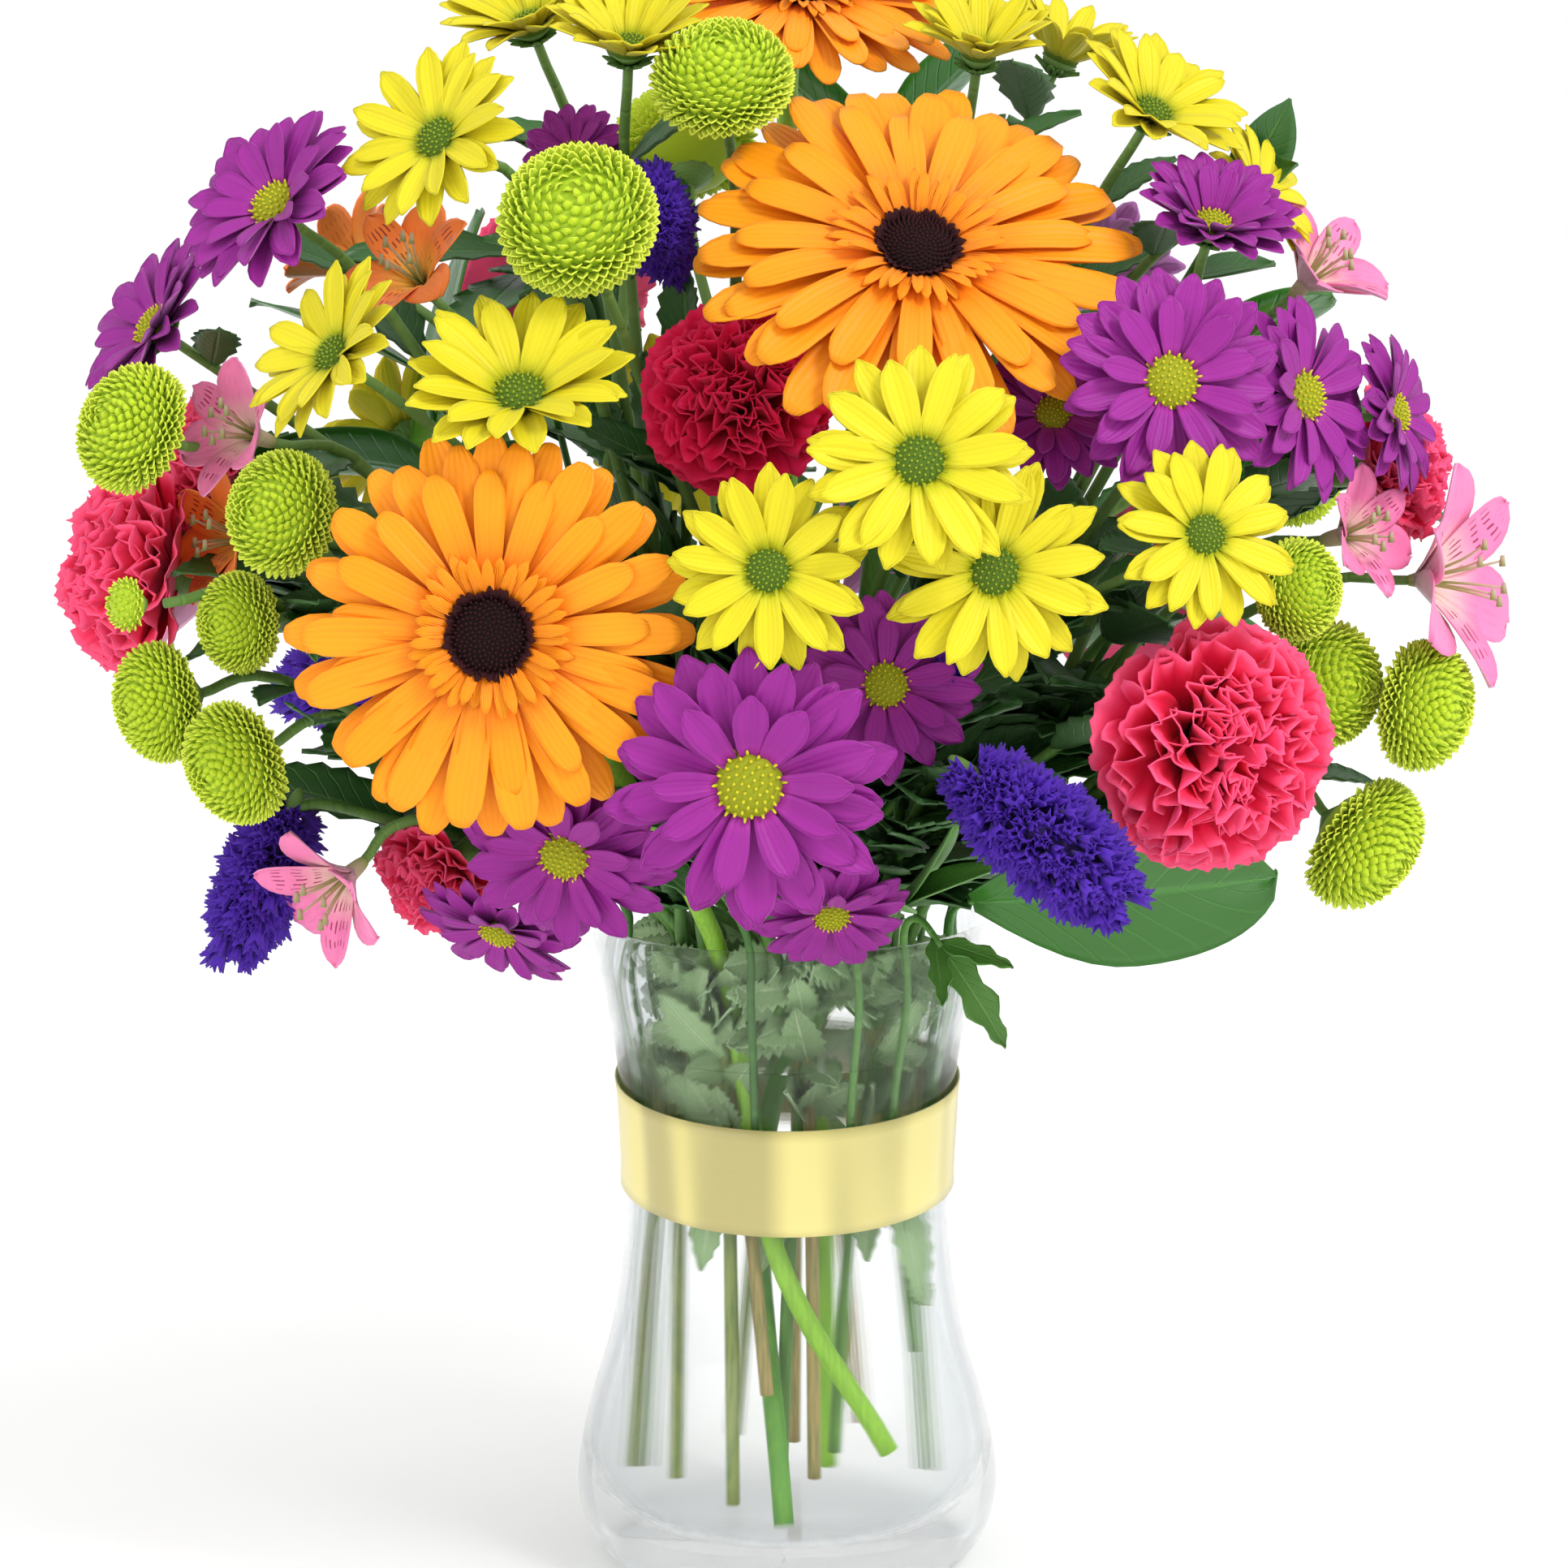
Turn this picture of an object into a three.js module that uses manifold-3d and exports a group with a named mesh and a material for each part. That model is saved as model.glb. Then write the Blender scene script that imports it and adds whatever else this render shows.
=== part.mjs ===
// A gathered bouquet in a flared glass vase: gerberas, daisy and button chrysanthemums,
// carnations, statice, alstroemeria and greenery standing in water, with a satin ribbon round the waist.
// Millimetres, +Z up, +Y away from the viewer, origin at the centre of the vase's foot.
import * as THREE from "three";
import { mergeVertices } from "three/addons/utils/BufferGeometryUtils.js";
import Module from "manifold-3d";

const wasm = await Module();
wasm.setup();

// ---------------------------------------------------------------- driving dimensions

const GAP = 0.35; // between pieces that touch
const BLADE = 0.8; // thickness of petals and leaves

const VASE = {
  height: 195,
  wall: 3,
  floor: 14,
  sides: 24,
  // outer radius at each height, from the foot to the rim
  profile: [
    [52, 0],
    [60, 8],
    [63.6, 24],
    [60, 46],
    [52.5, 73],
    [48.6, 108],
    [50.6, 148],
    [59, 195],
  ],
};
const WATER_LEVEL = 158;
const RIBBON = { bottom: 116, top: 148, thick: 0.6, dip: 6, sides: 24 };
const MOUTH = new THREE.Vector3(0, 0, 190); // where the stems fan out
const NECK = 163; // the height at which the stems cross, just above the water
const RIM = 198; // the height at which they pass the rim

const COLOURS = {
  glass: { color: "#e9f1f1", roughness: 0.05, transparent: true, opacity: 0.3 },
  water: { color: "#dfeeee", roughness: 0.03, transparent: true, opacity: 0.3 },
  satin: { color: "#ead98a", roughness: 0.35 },
  gerbera: { color: "#ff9c05", roughness: 0.55 },
  eye: { color: "#24100f", roughness: 0.8 },
  yellow: { color: "#f2e312", roughness: 0.55 },
  purple: { color: "#a62aa8", roughness: 0.55 },
  button: { color: "#a5cf2f", roughness: 0.7 },
  carnation: { color: "#ee2f5c", roughness: 0.6 },
  statice: { color: "#4327a8", roughness: 0.7 },
  pink: { color: "#e99ac0", roughness: 0.5 },
  orange: { color: "#f47a1c", roughness: 0.5 },
  stem: { color: "#5d8f35", roughness: 0.6 },
  leaf: { color: "#2f6b2c", roughness: 0.45 },
};

// ---------------------------------------------------------------- the bouquet
// Each head: its centre, the way it faces (turn from the front towards +X, then lift) and its width.

const GERBERAS = {
  left: [[-78, -168, 303], [-4, 6], 112],
  right: [[35, -108, 399], [8, 44], 128],
  top: [[4, -4, 468], [10, 62], 100],
};
const CARNATIONS = {
  middle: [[-14, -96, 360], [-8, 20], 58],
  right: [[116, -142, 269], [26, -4], 72],
  left: [[-186, -58, 306], [-66, 6], 64],
  far_left: [[-166, -36, 336], [-66, 26], 48],
  far_right: [[172, -60, 338], [74, 14], 48],
  low: [[-100, -66, 219], [-46, -34], 42],
  back_left: [[-74, 112, 376], [205, 24], 70],
  back_right: [[114, 96, 276], [140, 2], 72],
};
// Statice faces along its spike.
const STATICE = {
  left: [[-149, -76, 221], [-74, -66], 60],
  right: [[68, -168, 249], [60, -34], 74],
  middle: [[40, -126, 286], [14, 24], 40],
  top: [[-36, -80, 406], [-18, 52], 44],
  back: [[-134, 70, 258], [236, -14], 70],
};

// Branching sprays: the heads of each are joined at a fork.
const SPRAYS = {
  yellow_left: {
    kind: "yellow",
    heads: [
      [[-95, -100, 430], [-36, 28], 60],
      [[-72, -50, 460], [-30, 58], 58],
      [[-44, -74, 454], [4, 62], 54],
      [[-122, -124, 373], [-52, 34], 58],
      [[-71, -148, 364], [-4, 50], 70],
    ],
  },
  yellow_front: {
    kind: "yellow",
    fork: [14, -66, 268],
    heads: [
      [[34, -182, 350], [2, 18], 66],
      [[-5, -184, 322], [-6, 4], 58],
      [[54, -170, 320], [8, 10], 64],
      [[110, -157, 328], [18, 18], 56],
    ],
  },
  yellow_right: {
    kind: "yellow",
    heads: [
      [[101, -72, 436], [38, 50], 58],
      [[54, -42, 452], [14, 66], 50],
      [[132, -60, 414], [62, 34], 46],
      [[80, 10, 450], [70, 66], 54],
    ],
  },
  yellow_back: {
    kind: "yellow",
    heads: [
      [[-30, 132, 330], [190, 12], 74],
      [[-120, 98, 330], [220, 20], 68],
      [[36, 122, 378], [168, 34], 72],
    ],
  },
  purple_left: {
    kind: "purple",
    heads: [
      [[-141, -84, 411], [-42, 36], 64],
      [[-177, -66, 376], [-62, 34], 60],
      [[-60, -50, 424], [-20, 30], 34],
    ],
  },
  purple_right: {
    kind: "purple",
    heads: [
      [[116, -98, 406], [24, 56], 52],
      [[102, -138, 367], [12, 14], 66],
      [[140, -112, 361], [48, 14], 60],
      [[168, -86, 354], [64, 12], 50],
      [[72, -112, 356], [6, 26], 46],
    ],
  },
  purple_front: {
    kind: "purple",
    heads: [
      [[-10, -180, 265], [-2, -4], 80],
      [[-60, -142, 240], [-14, -24], 62],
      [[-80, -104, 212], [-30, -48], 50],
      [[12, -128, 221], [6, -38], 46],
      [[26, -142, 286], [10, 6], 56],
    ],
  },
  purple_back: {
    kind: "purple",
    heads: [
      [[-66, 122, 266], [206, -6], 74],
      [[44, 136, 300], [162, 6], 74],
      [[94, 86, 382], [140, 38], 68],
    ],
  },
  button_left: {
    kind: "button",
    fork: [-94, -52, 250],
    heads: [
      [[-180, -98, 351], [-50, 22], 39],
      [[-137, -122, 330], [-42, 12], 37],
      [[-174, -98, 275], [-58, -6], 36],
      [[-151, -104, 298], [-48, 2], 30],
      [[-151, -118, 261], [-48, -16], 37],
      [[-181, -112, 304], [-60, 2], 16],
    ],
  },
  button_top: {
    kind: "button",
    heads: [
      [[-18, -88, 446], [-6, 52], 42],
      [[-56, -134, 410], [-12, 34], 46],
    ],
  },
  button_right: {
    kind: "button",
    heads: [
      [[150, -90, 279], [38, 0], 38],
      [[178, -90, 276], [56, -4], 39],
      [[162, -86, 233], [54, -28], 42],
      [[139, -118, 309], [44, 6], 30],
    ],
  },
  button_back: {
    kind: "button",
    heads: [
      [[8, 130, 252], [180, -8], 46],
      [[-32, 88, 422], [192, 50], 48],
      [[152, 44, 330], [112, 12], 46],
    ],
  },
  alstroemeria_right: {
    kind: "pink",
    heads: [
      [[184, -80, 303], [62, 6], 62],
      [[150, -60, 393], [56, 44], 44],
      [[158, -96, 322], [48, 14], 38],
    ],
  },
  alstroemeria_left: {
    kind: "pink",
    fork: [-62, -60, 238],
    heads: [
      [[-127, -96, 222], [-46, -30], 46],
      [[-152, -90, 350], [-46, 20], 40],
    ],
  },
  alstroemeria_back: {
    kind: "pink",
    heads: [
      [[-174, 20, 300], [265, 6], 62],
      [[-152, 66, 306], [242, 4], 54],
    ],
  },
  alstroemeria_orange: {
    kind: "orange",
    heads: [
      [[-104, -86, 394], [-34, 40], 42],
      [[-158, -70, 318], [-56, 10], 42],
      [[-132, 34, 392], [250, 40], 46],
    ],
  },
};

// Stems that cross at one point of the neck: where they end, and where their cut ends stand in the water.
const BUNDLES = {
  stems_left: {
    neck: [-30, 6],
    ends: ["button_left", "purple_left", "alstroemeria_orange", "carnation_left", "carnation_far_left"],
    feet: [[-46, -20, 32], [-33, -26, 30], [-44, 14, 22]],
  },
  stems_front_left: {
    neck: [-18, -26],
    ends: [
      "yellow_left",
      "button_top",
      "alstroemeria_left",
      "carnation_middle",
      "carnation_low",
      "statice_left",
      "statice_top",
    ],
    feet: [[-6, -34, 58], [-16, -40, 26]],
  },
  stems_front: {
    neck: [6, -22],
    ends: ["purple_front", "yellow_front", "statice_middle", "statice_right"],
    feet: [[8, -26, 30], [-2, -16, 24]],
  },
  stems_right: {
    neck: [26, -14],
    ends: [
      "purple_right",
      "yellow_right",
      "button_right",
      "alstroemeria_right",
      "carnation_right",
      "carnation_far_right",
    ],
    feet: [[14, -12, 34], [38, -14, 66], [42, 4, 24]],
  },
  stems_back: {
    neck: [4, 26],
    ends: [
      "yellow_back",
      "purple_back",
      "button_back",
      "alstroemeria_back",
      "carnation_back_left",
      "carnation_back_right",
      "statice_back",
    ],
    feet: [[-16, 34, 26], [22, 34, 30], [2, 40, 22]],
  },
};

// The gerberas' own stems: the points each passes from its cut end up to the neck and the rim.
const GERBERA_STEMS = {
  left: [[30, -39, 42], [-4, -37, 104], [-22, -38, RIM]],
  right: [[-1, -42, 20], [-8, -1, 120], [12, -16, RIM]],
  top: [[12, 8, 24], [10, 4, 120], [2, 6, RIM]],
};

// Greenery: a stalk's points, and its leaves as [place along the stalk, tip, width, the way the blade faces].
const FRONDS = {
  salal_right: {
    lean: -21,
    stalk: [[48, -24, 200], [52, -50, 210], [52, -84, 216]],
    leaves: [[0.978, [138, -112, 218], 46, [0.1, -0.8, -0.5]]],
  },
  lobed_right: {
    lean: -47,
    stalk: [[34, -40, 199], [38, -58, 206], [44, -68, 200]],
    leaves: [
      [0.97, [63, -74, 172], 13, [0.3, -0.9, 0.3]],
      [0.97, [64, -78, 196], 8, [0, -0.7, 0.7]],
      [0.925, [44, -82, 186], 8, [0.2, -0.7, 0.5]],
    ],
  },
  strap_front: {
    lean: -66,
    stalk: [[20, -48, 199], [25, -70, 208], [30, -100, 218]],
    leaves: [
      [0.955, [46, -124, 246], 15, [0.7, -0.6, 0.2]],
      [0.978, [58, -122, 232], 13, [0.5, -0.6, 0.6]],
      [0.978, [30, -124, 224], 12, [0.6, -0.2, 0.7]],
    ],
  },
  leaves_right: {
    lean: 5,
    stalk: [[50, -2, 200], [62, -30, 232], [84, -66, 276], [96, -84, 300]],
    leaves: [
      [0.776, [72, -116, 284], 32, [0.2, -0.5, 0.8]],
      [0.88, [104, -120, 300], 26, [0.5, -0.6, 0.7]],
      [0.976, [70, -122, 306], 24, [-0.2, -0.6, 0.8]],
    ],
  },
  ruscus_right: {
    lean: 38,
    stalk: [[44, 26, 204], [64, 4, 280], [100, -20, 360], [128, -38, 412]],
    leaves: [
      [0.984, [142, -46, 440], 17, [0.3, -0.8, 0.3]],
      [0.984, [143, -52, 422], 14, [0.4, -0.7, 0.5]],
      [0.88, [140, -30, 392], 16, [0.2, -0.3, 0.9]],
      [0.696, [116, 4, 362], 18, [0.3, 0.2, 0.9]],
    ],
  },
  leaves_front: {
    lean: -102,
    stalk: [[-12, -50, 200], [-26, -74, 232], [-30, -100, 280], [-28, -116, 306]],
    leaves: [
      [0.888, [-28, -154, 312], 26, [-0.3, -0.5, 0.8]],
      [0.976, [6, -142, 322], 22, [0.4, -0.6, 0.7]],
      [0.76, [-44, -116, 284], 22, [-0.4, -0.6, 0.6]],
    ],
  },
  leaves_left: {
    lean: -163,
    stalk: [[-49, -16, 204], [-80, -24, 244], [-118, -46, 290], [-140, -60, 306]],
    leaves: [
      [0.976, [-172, -84, 308], 24, [-0.4, -0.5, 0.8]],
      [0.84, [-134, -20, 312], 24, [-0.5, 0.1, 0.8]],
    ],
  },
  leaves_top: {
    lean: 142,
    stalk: [[-42, 28, 204], [-56, 8, 290], [-70, -20, 360], [-76, -40, 396]],
    leaves: [
      [0.944, [-90, -86, 372], 24, [-0.3, -0.7, 0.5]],
      [0.984, [-128, -56, 396], 20, [-0.3, -0.5, 0.8]],
      [0.68, [-98, 24, 364], 24, [-0.4, 0.3, 0.8]],
    ],
  },
  leaves_back: {
    lean: 88,
    stalk: [[4, 51, 202], [10, 74, 240], [16, 96, 300], [8, 104, 344]],
    leaves: [
      [0.696, [-26, 122, 300], 28, [-0.2, 0.8, 0.5]],
      [0.76, [62, 112, 330], 28, [0.3, 0.8, 0.5]],
      [0.944, [-12, 116, 376], 26, [-0.1, 0.9, 0.4]],
      [0.44, [34, 110, 236], 28, [0.3, 0.7, 0.6]],
    ],
  },
  leaves_side_right: {
    lean: 20,
    stalk: [[52, 14, 202], [84, 26, 250], [112, 36, 310], [120, 34, 352]],
    leaves: [
      [0.98, [160, 16, 384], 34, [0.4, 0, 0.8]],
      [0.88, [156, -20, 330], 34, [0.8, -0.2, 0.5]],
      [0.84, [128, 92, 336], 36, [0.5, 0.6, 0.5]],
      [0.74, [146, 38, 272], 36, [0.8, 0.2, 0.4]],
    ],
  },
  leaves_side_left: {
    lean: 160,
    stalk: [[-50.5, 18.5, 202], [-80, 22, 250], [-100, 22, 310], [-108, 24, 356]],
    leaves: [
      [0.98, [-160, 22, 378], 34, [-0.4, 0, 0.8]],
      [0.88, [-160, -6, 338], 34, [-0.8, -0.2, 0.5]],
      [0.84, [-112, 104, 362], 34, [-0.4, 0.7, 0.5]],
      [0.93, [-96, 62, 404], 30, [-0.2, 0.4, 0.9]],
    ],
  },
  leaves_crown: {
    lean: 60,
    stalk: [[27, 48, 202], [28, 56, 300], [30, 60, 380], [30, 62, 420]],
    leaves: [
      [0.98, [62, 62, 458], 32, [0.3, 0.2, 0.9]],
      [0.95, [-14, 58, 454], 32, [-0.2, 0.2, 0.9]],
      [0.9, [30, 118, 424], 34, [0, 0.7, 0.7]],
      [0.82, [78, 44, 404], 32, [0.5, 0.2, 0.7]],
    ],
  },
};

// Leaves left on the stems inside the vase: [which leg, place along it, tip, width, the way the blade faces].
const VASE_LEAVES = {
  stems_front_left: [
    [0, 0.95, [-38, -30, 178], 14, [-0.5, -0.8, 0]],
  ],
  stems_front: [
    [0, 0.95, [2, -42, 176], 14, [-0.1, -0.9, 0.2]],
  ],
  stems_right: [
    [1, 0.94, [38, -26, 176], 12, [0.6, -0.7, 0]],
    [1, 0.3, [43, -14, 80], 9, [0.6, -0.7, 0.2]],
  ],
  stems_left: [[0, 0.8, [-42, -10, 166], 12, [-0.7, -0.7, 0]]],
};

// ---------------------------------------------------------------- solids

// A closed three.js geometry as a solid.
function solidOf(geometry) {
  const bare = geometry.index ? geometry.toNonIndexed() : geometry.clone();
  bare.deleteAttribute("normal");
  bare.deleteAttribute("uv");
  const merged = mergeVertices(bare, 1e-3);
  return new wasm.Manifold(
    new wasm.Mesh({
      numProp: 3,
      vertProperties: merged.attributes.position.array,
      triVerts: new Uint32Array(merged.index.array),
    }),
  );
}

function geometryOf(solid) {
  const { numVert, numProp, vertProperties, triVerts } = solid.getMesh();
  const positions = new Float32Array(numVert * 3);
  for (let i = 0; i < numVert; i++)
    positions.set(vertProperties.subarray(i * numProp, i * numProp + 3), i * 3);
  return new THREE.BufferGeometry()
    .setAttribute("position", new THREE.BufferAttribute(positions, 3))
    .setIndex(new THREE.BufferAttribute(triVerts, 1));
}

// Each vertex of a geometry moved by a rule on its place.
function shaped(geometry, rule) {
  const place = geometry.attributes.position;
  const v = new THREE.Vector3();
  for (let i = 0; i < place.count; i++) {
    rule(v.fromBufferAttribute(place, i));
    place.setXYZ(i, v.x, v.y, v.z);
  }
  return geometry;
}

// A surface of revolution about +Z from [radius, height] pairs that start and end on the axis.
const turned = (points, sides) =>
  new THREE.LatheGeometry(
    points.map(([r, z]) => new THREE.Vector2(r, z)),
    sides,
  )
    .rotateX(Math.PI / 2)
    .rotateZ(Math.PI / 2);

// A closed surface of rings between two poles; a rule gives each vertex its place.
function rosette(columns, rings, rule) {
  const code = [[0, 0], ...Array.from({ length: rings }, (_, j) => [1, j + 1]), [0, rings + 1]];
  return shaped(turned(code, columns), (v) => {
    const step = Math.round((Math.atan2(v.y, v.x) / (2 * Math.PI)) * columns);
    v.copy(rule((step + columns) % columns, Math.round(v.z)));
  });
}
const polar = (angle, r, z) => new THREE.Vector3(r * Math.cos(angle), r * Math.sin(angle), z);

// A stem of many-sided section through points.
function tube(curve, radius, steps, sides = 5) {
  const section = new THREE.Shape();
  for (let i = 0; i < sides; i++) {
    const a = (i / sides) * 2 * Math.PI;
    if (i) section.lineTo(radius * Math.cos(a), radius * Math.sin(a));
    else section.moveTo(radius, 0);
  }
  const shape = { steps, extrudePath: curve, bevelEnabled: false, curveSegments: 1 };
  return solidOf(new THREE.ExtrudeGeometry(section, shape));
}

const vectors = (points) => points.map((p) => new THREE.Vector3(...p));
const through = (points) => new THREE.CatmullRomCurve3(points, false, "centripetal");

// The same curve, started a little before its first point.
function earlier(curve, by) {
  const [first, second, ...rest] = curve.points;
  return through([first.clone().sub(second).setLength(by).add(first), second, ...rest]);
}

const ball = (centre, radius, sides = 6, rows = 4) =>
  solidOf(new THREE.SphereGeometry(radius, sides, rows).translate(centre.x, centre.y, centre.z));

// ---------------------------------------------------------------- keeping pieces clear of each other

const nodes = new Map(); // name -> { colour, pieces }
const taken = []; // every solid placed so far, with its owner

function claim(owner, solid) {
  const { min, max } = solid.boundingBox();
  const box = new THREE.Box3(new THREE.Vector3(...min), new THREE.Vector3(...max));
  taken.push({ owner, solid, box });
}

function put(name, colour, ...pieces) {
  if (!nodes.has(name)) nodes.set(name, { colour, pieces: [] });
  for (const piece of pieces) {
    nodes.get(name).pieces.push(piece);
    claim(name, piece);
  }
}

// True where a solid keeps its gap from everything placed, apart from what has the same owner.
function isClear(solid, owner) {
  const { min, max } = solid.boundingBox();
  const box = new THREE.Box3(new THREE.Vector3(...min), new THREE.Vector3(...max));
  box.expandByScalar(GAP);
  return taken.every(
    (other) =>
      other.owner === owner ||
      !other.box.intersectsBox(box) ||
      other.solid.minGap(solid, 1) > GAP * 0.9,
  );
}

// The first of some variants that is clear.
const firstClear = (variants, make, owner) =>
  variants.find((variant) => isClear(make(variant), owner));

// ---------------------------------------------------------------- vase, water and ribbon

// The vase's outer radius at a height.
function outerRadius(z) {
  const i = VASE.profile.findIndex(([, height]) => height > z);
  if (i < 0) return VASE.profile.at(-1)[0];
  const [[r0, z0], [r1, z1]] = VASE.profile.slice(i - 1, i + 1);
  return r0 + ((r1 - r0) * (z - z0)) / (z1 - z0);
}
const innerRadius = (z) => outerRadius(z) - VASE.wall;

function vase() {
  const outer = VASE.profile.map(([, z]) => [outerRadius(z), z]);
  const inner = [VASE.height, 148, 108, 73, 46, 26].map((z) => [innerRadius(z), z]);
  const floor = [[innerRadius(26) - 8, VASE.floor], [0, VASE.floor]];
  return solidOf(turned([[0, 0], ...outer, ...inner, ...floor], VASE.sides));
}

// The water fills the vase up to its level, round plain holes for what stands in it.
function water(holes) {
  const wall = [26, 46, 73, 108, 148].map((z) => [innerRadius(z) - GAP, z]);
  const bottom = VASE.floor + GAP;
  const profile = [
    [0, bottom],
    [innerRadius(26) - 8 - GAP, bottom],
    ...wall,
    [innerRadius(WATER_LEVEL) - GAP, WATER_LEVEL],
    [0, WATER_LEVEL],
  ];
  const body = solidOf(turned(profile, VASE.sides));
  const left = holes.reduce((rest, hole) => rest.subtract(hole), body);
  return left.decompose().reduce((a, b) => (a.volume() > b.volume() ? a : b));
}

// A band that hugs the waist and dips towards the front.
function ribbon() {
  const { bottom, top, sides } = RIBBON;
  const band = turned([[2, bottom], [2, top], [1, top], [1, bottom], [2, bottom]], sides);
  return solidOf(
    shaped(band, (v) => {
      const around = Math.atan2(v.y, v.x);
      const layer = Math.round(Math.hypot(v.x, v.y)) - 1;
      const z = v.z + RIBBON.dip * Math.sin(around);
      const r = outerRadius(z) + GAP + layer * RIBBON.thick;
      v.set(r * Math.cos(around), r * Math.sin(around), z);
    }),
  );
}

// ---------------------------------------------------------------- heads

let seed = 7;
function random() {
  seed = (seed * 16807) % 2147483647;
  return seed / 2147483647;
}
const vary = (amount) => (random() * 2 - 1) * amount;

const radians = THREE.MathUtils.degToRad;

// The unit vector a head faces along.
function facing([turn, lift]) {
  const t = radians(turn);
  const l = radians(lift);
  const flat = Math.cos(l);
  return new THREE.Vector3(Math.sin(t) * flat, -Math.cos(t) * flat, Math.sin(l));
}

// Places a head modelled at the origin and facing +Z.
function headMatrix([centre, face]) {
  const out = facing(face);
  const across = new THREE.Vector3(0, 0, 1).cross(out).normalize();
  const up = out.clone().cross(across);
  return new THREE.Matrix4().makeBasis(across, up, out).setPosition(...centre);
}

// A three-sided branch as the first rings of a head's surface: its far pole and its rings, in the head's frame.
// All the columns of a third of the head meet in one corner of the branch.
function branchRings(path, place, columns, radius = BRANCH) {
  const into = place.clone().invert();
  const points = path.map((p) => p.clone().applyMatrix4(into));
  const corner = (column) => (Math.floor((3 * column) / columns) * 2 * Math.PI) / 3 + Math.PI / 3;
  return (column, level) => {
    const at = points[Math.max(level - 1, 0)];
    if (level === 0) return at;
    const way = points[Math.min(level, points.length - 1)].clone().sub(points[Math.max(level - 2, 0)]);
    const turn = new THREE.Quaternion().setFromUnitVectors(new THREE.Vector3(0, 0, 1), way.normalize());
    return polar(corner(column), radius, 0).applyQuaternion(turn).add(at);
  };
}

// Petals round a head with its raised middle, as one closed surface: one layer or two.
// It starts at the back from a point, or from the branch that carries it.
// Each petal tilts away from what it would meet, or is shortened.
const TILTS = [0, 8, -8, 16, -16, 25, -25, 35, 46, 58];
const TRIALS = [1, 0.8, 0.62].flatMap((scale) => TILTS.map((tilt) => ({ tilt, scale })));
function petalled(head, plan, owner, path) {
  const { petals, blunt, layers, disc, back, crown, spin = 0 } = plan;
  const place = headMatrix(head);
  const pitch = (2 * Math.PI) / petals;
  const wide = blunt ? pitch * 0.29 : 0;

  // One petal by itself, to try its room.
  const trial = ({ reach, notch, raise }, turn, tilt, scale) => {
    const across = reach * Math.sin(wide);
    const far = disc + (reach - disc) * scale;
    const near = disc + (notch - disc) * scale;
    const [nx, ny] = [near * Math.sin(pitch / 2), near * Math.cos(pitch / 2)];
    const tip = blunt ? [[-across, far], [across, far]] : [[0, far]];
    const outline = [[-nx * 0.4, disc * 0.7], [-nx, ny], ...tip, [nx, ny], [nx * 0.4, disc * 0.7]];
    const shape = new THREE.Shape(outline.map(([x, y]) => new THREE.Vector2(x, y)));
    return solidOf(
      new THREE.ExtrudeGeometry(shape, { depth: BLADE, bevelEnabled: false })
        .translate(0, -disc, 0)
        .rotateX(radians(tilt))
        .translate(0, disc, raise)
        .rotateZ(turn * pitch - Math.PI / 2)
        .applyMatrix4(place),
    );
  };
  const made = layers.map((layer, j) =>
    Array.from({ length: petals }, (_, i) => {
      const tilt = layer.lift + vary(4);
      const length = 1 - random() * 0.07;
      const turn = i + spin + j / 2;
      const found = firstClear(
        TRIALS,
        (t) => trial(layer, turn, tilt + t.tilt, t.scale * length),
        owner,
      );
      const { tilt: more, scale } = found ?? { tilt: 40, scale: 0.4 };
      return { slope: radians(tilt + more), scale: scale * length };
    }),
  );

  // Rings: the back (or the branch), then underside, top side and root of each layer, then the middle.
  const per = blunt ? 3 : 2;
  const columns = petals * per;
  const stem = path && branchRings(path, place, columns);
  const start = stem ? path.length + 1 : 1;
  const last = start + layers.length * 3;
  const rule = (column, level, shrink) => {
    if (stem && level < start) return stem(column, level);
    if (level === 0) return new THREE.Vector3(0, 0, -back);
    if (level === last) return new THREE.Vector3(0, 0, crown);
    const j = Math.floor((level - start) / 3);
    const part = level - start - 3 * j;
    const { reach, notch, raise } = layers[j];
    const petal = Math.floor(column / per);
    const k = column % per;
    const isNotch = k === per - 1;
    const [own, next] = [made[j][petal], made[j][(petal + 1) % petals]];
    const angle = (petal + spin + j / 2) * pitch + (isNotch ? pitch / 2 : k ? wide : -wide);
    if (part === 2) return polar(angle, disc, raise + BLADE);
    const slope = isNotch ? (own.slope + next.slope) / 2 : own.slope;
    const scale = isNotch ? Math.min(own.scale, next.scale) : own.scale;
    const along = ((isNotch ? notch : reach) - disc) * scale * shrink;
    return polar(angle, disc + along * Math.cos(slope), raise + along * Math.sin(slope) + part * BLADE);
  };
  const build = (shrink) =>
    solidOf(rosette(columns, last - 1, (c, level) => rule(c, level, shrink)).applyMatrix4(place));
  const shrink = firstClear([1, 0.93, 0.86, 0.78, 0.68, 0.56, 0.45], build, owner);
  return build(shrink ?? 1);
}

const GERBERA_BACK = 9;
function gerbera(name, head) {
  const owner = `gerbera_${name}_petals`;
  const r = head[2] / 2;
  const layers = [
    { reach: r, notch: r * 0.52, lift: 3, raise: 0 },
    { reach: r * 0.8, notch: r * 0.46, lift: 11, raise: 2.4 },
  ];
  const plan = { petals: name === "top" ? 12 : 15, blunt: true, layers, disc: 12, back: GERBERA_BACK, crown: 3.2 };
  put(owner, "gerbera", petalled(head, plan, owner));
  const profile = [[0, 0], [10.2, 0], [10.6, 1.6], [6, 3.4], [0, 2.6]];
  const eye = turned(profile, 10).translate(0, 0, 3.2 + GAP);
  put(`gerbera_${name}_eye`, "eye", solidOf(eye.applyMatrix4(headMatrix(head))));
}

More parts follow.
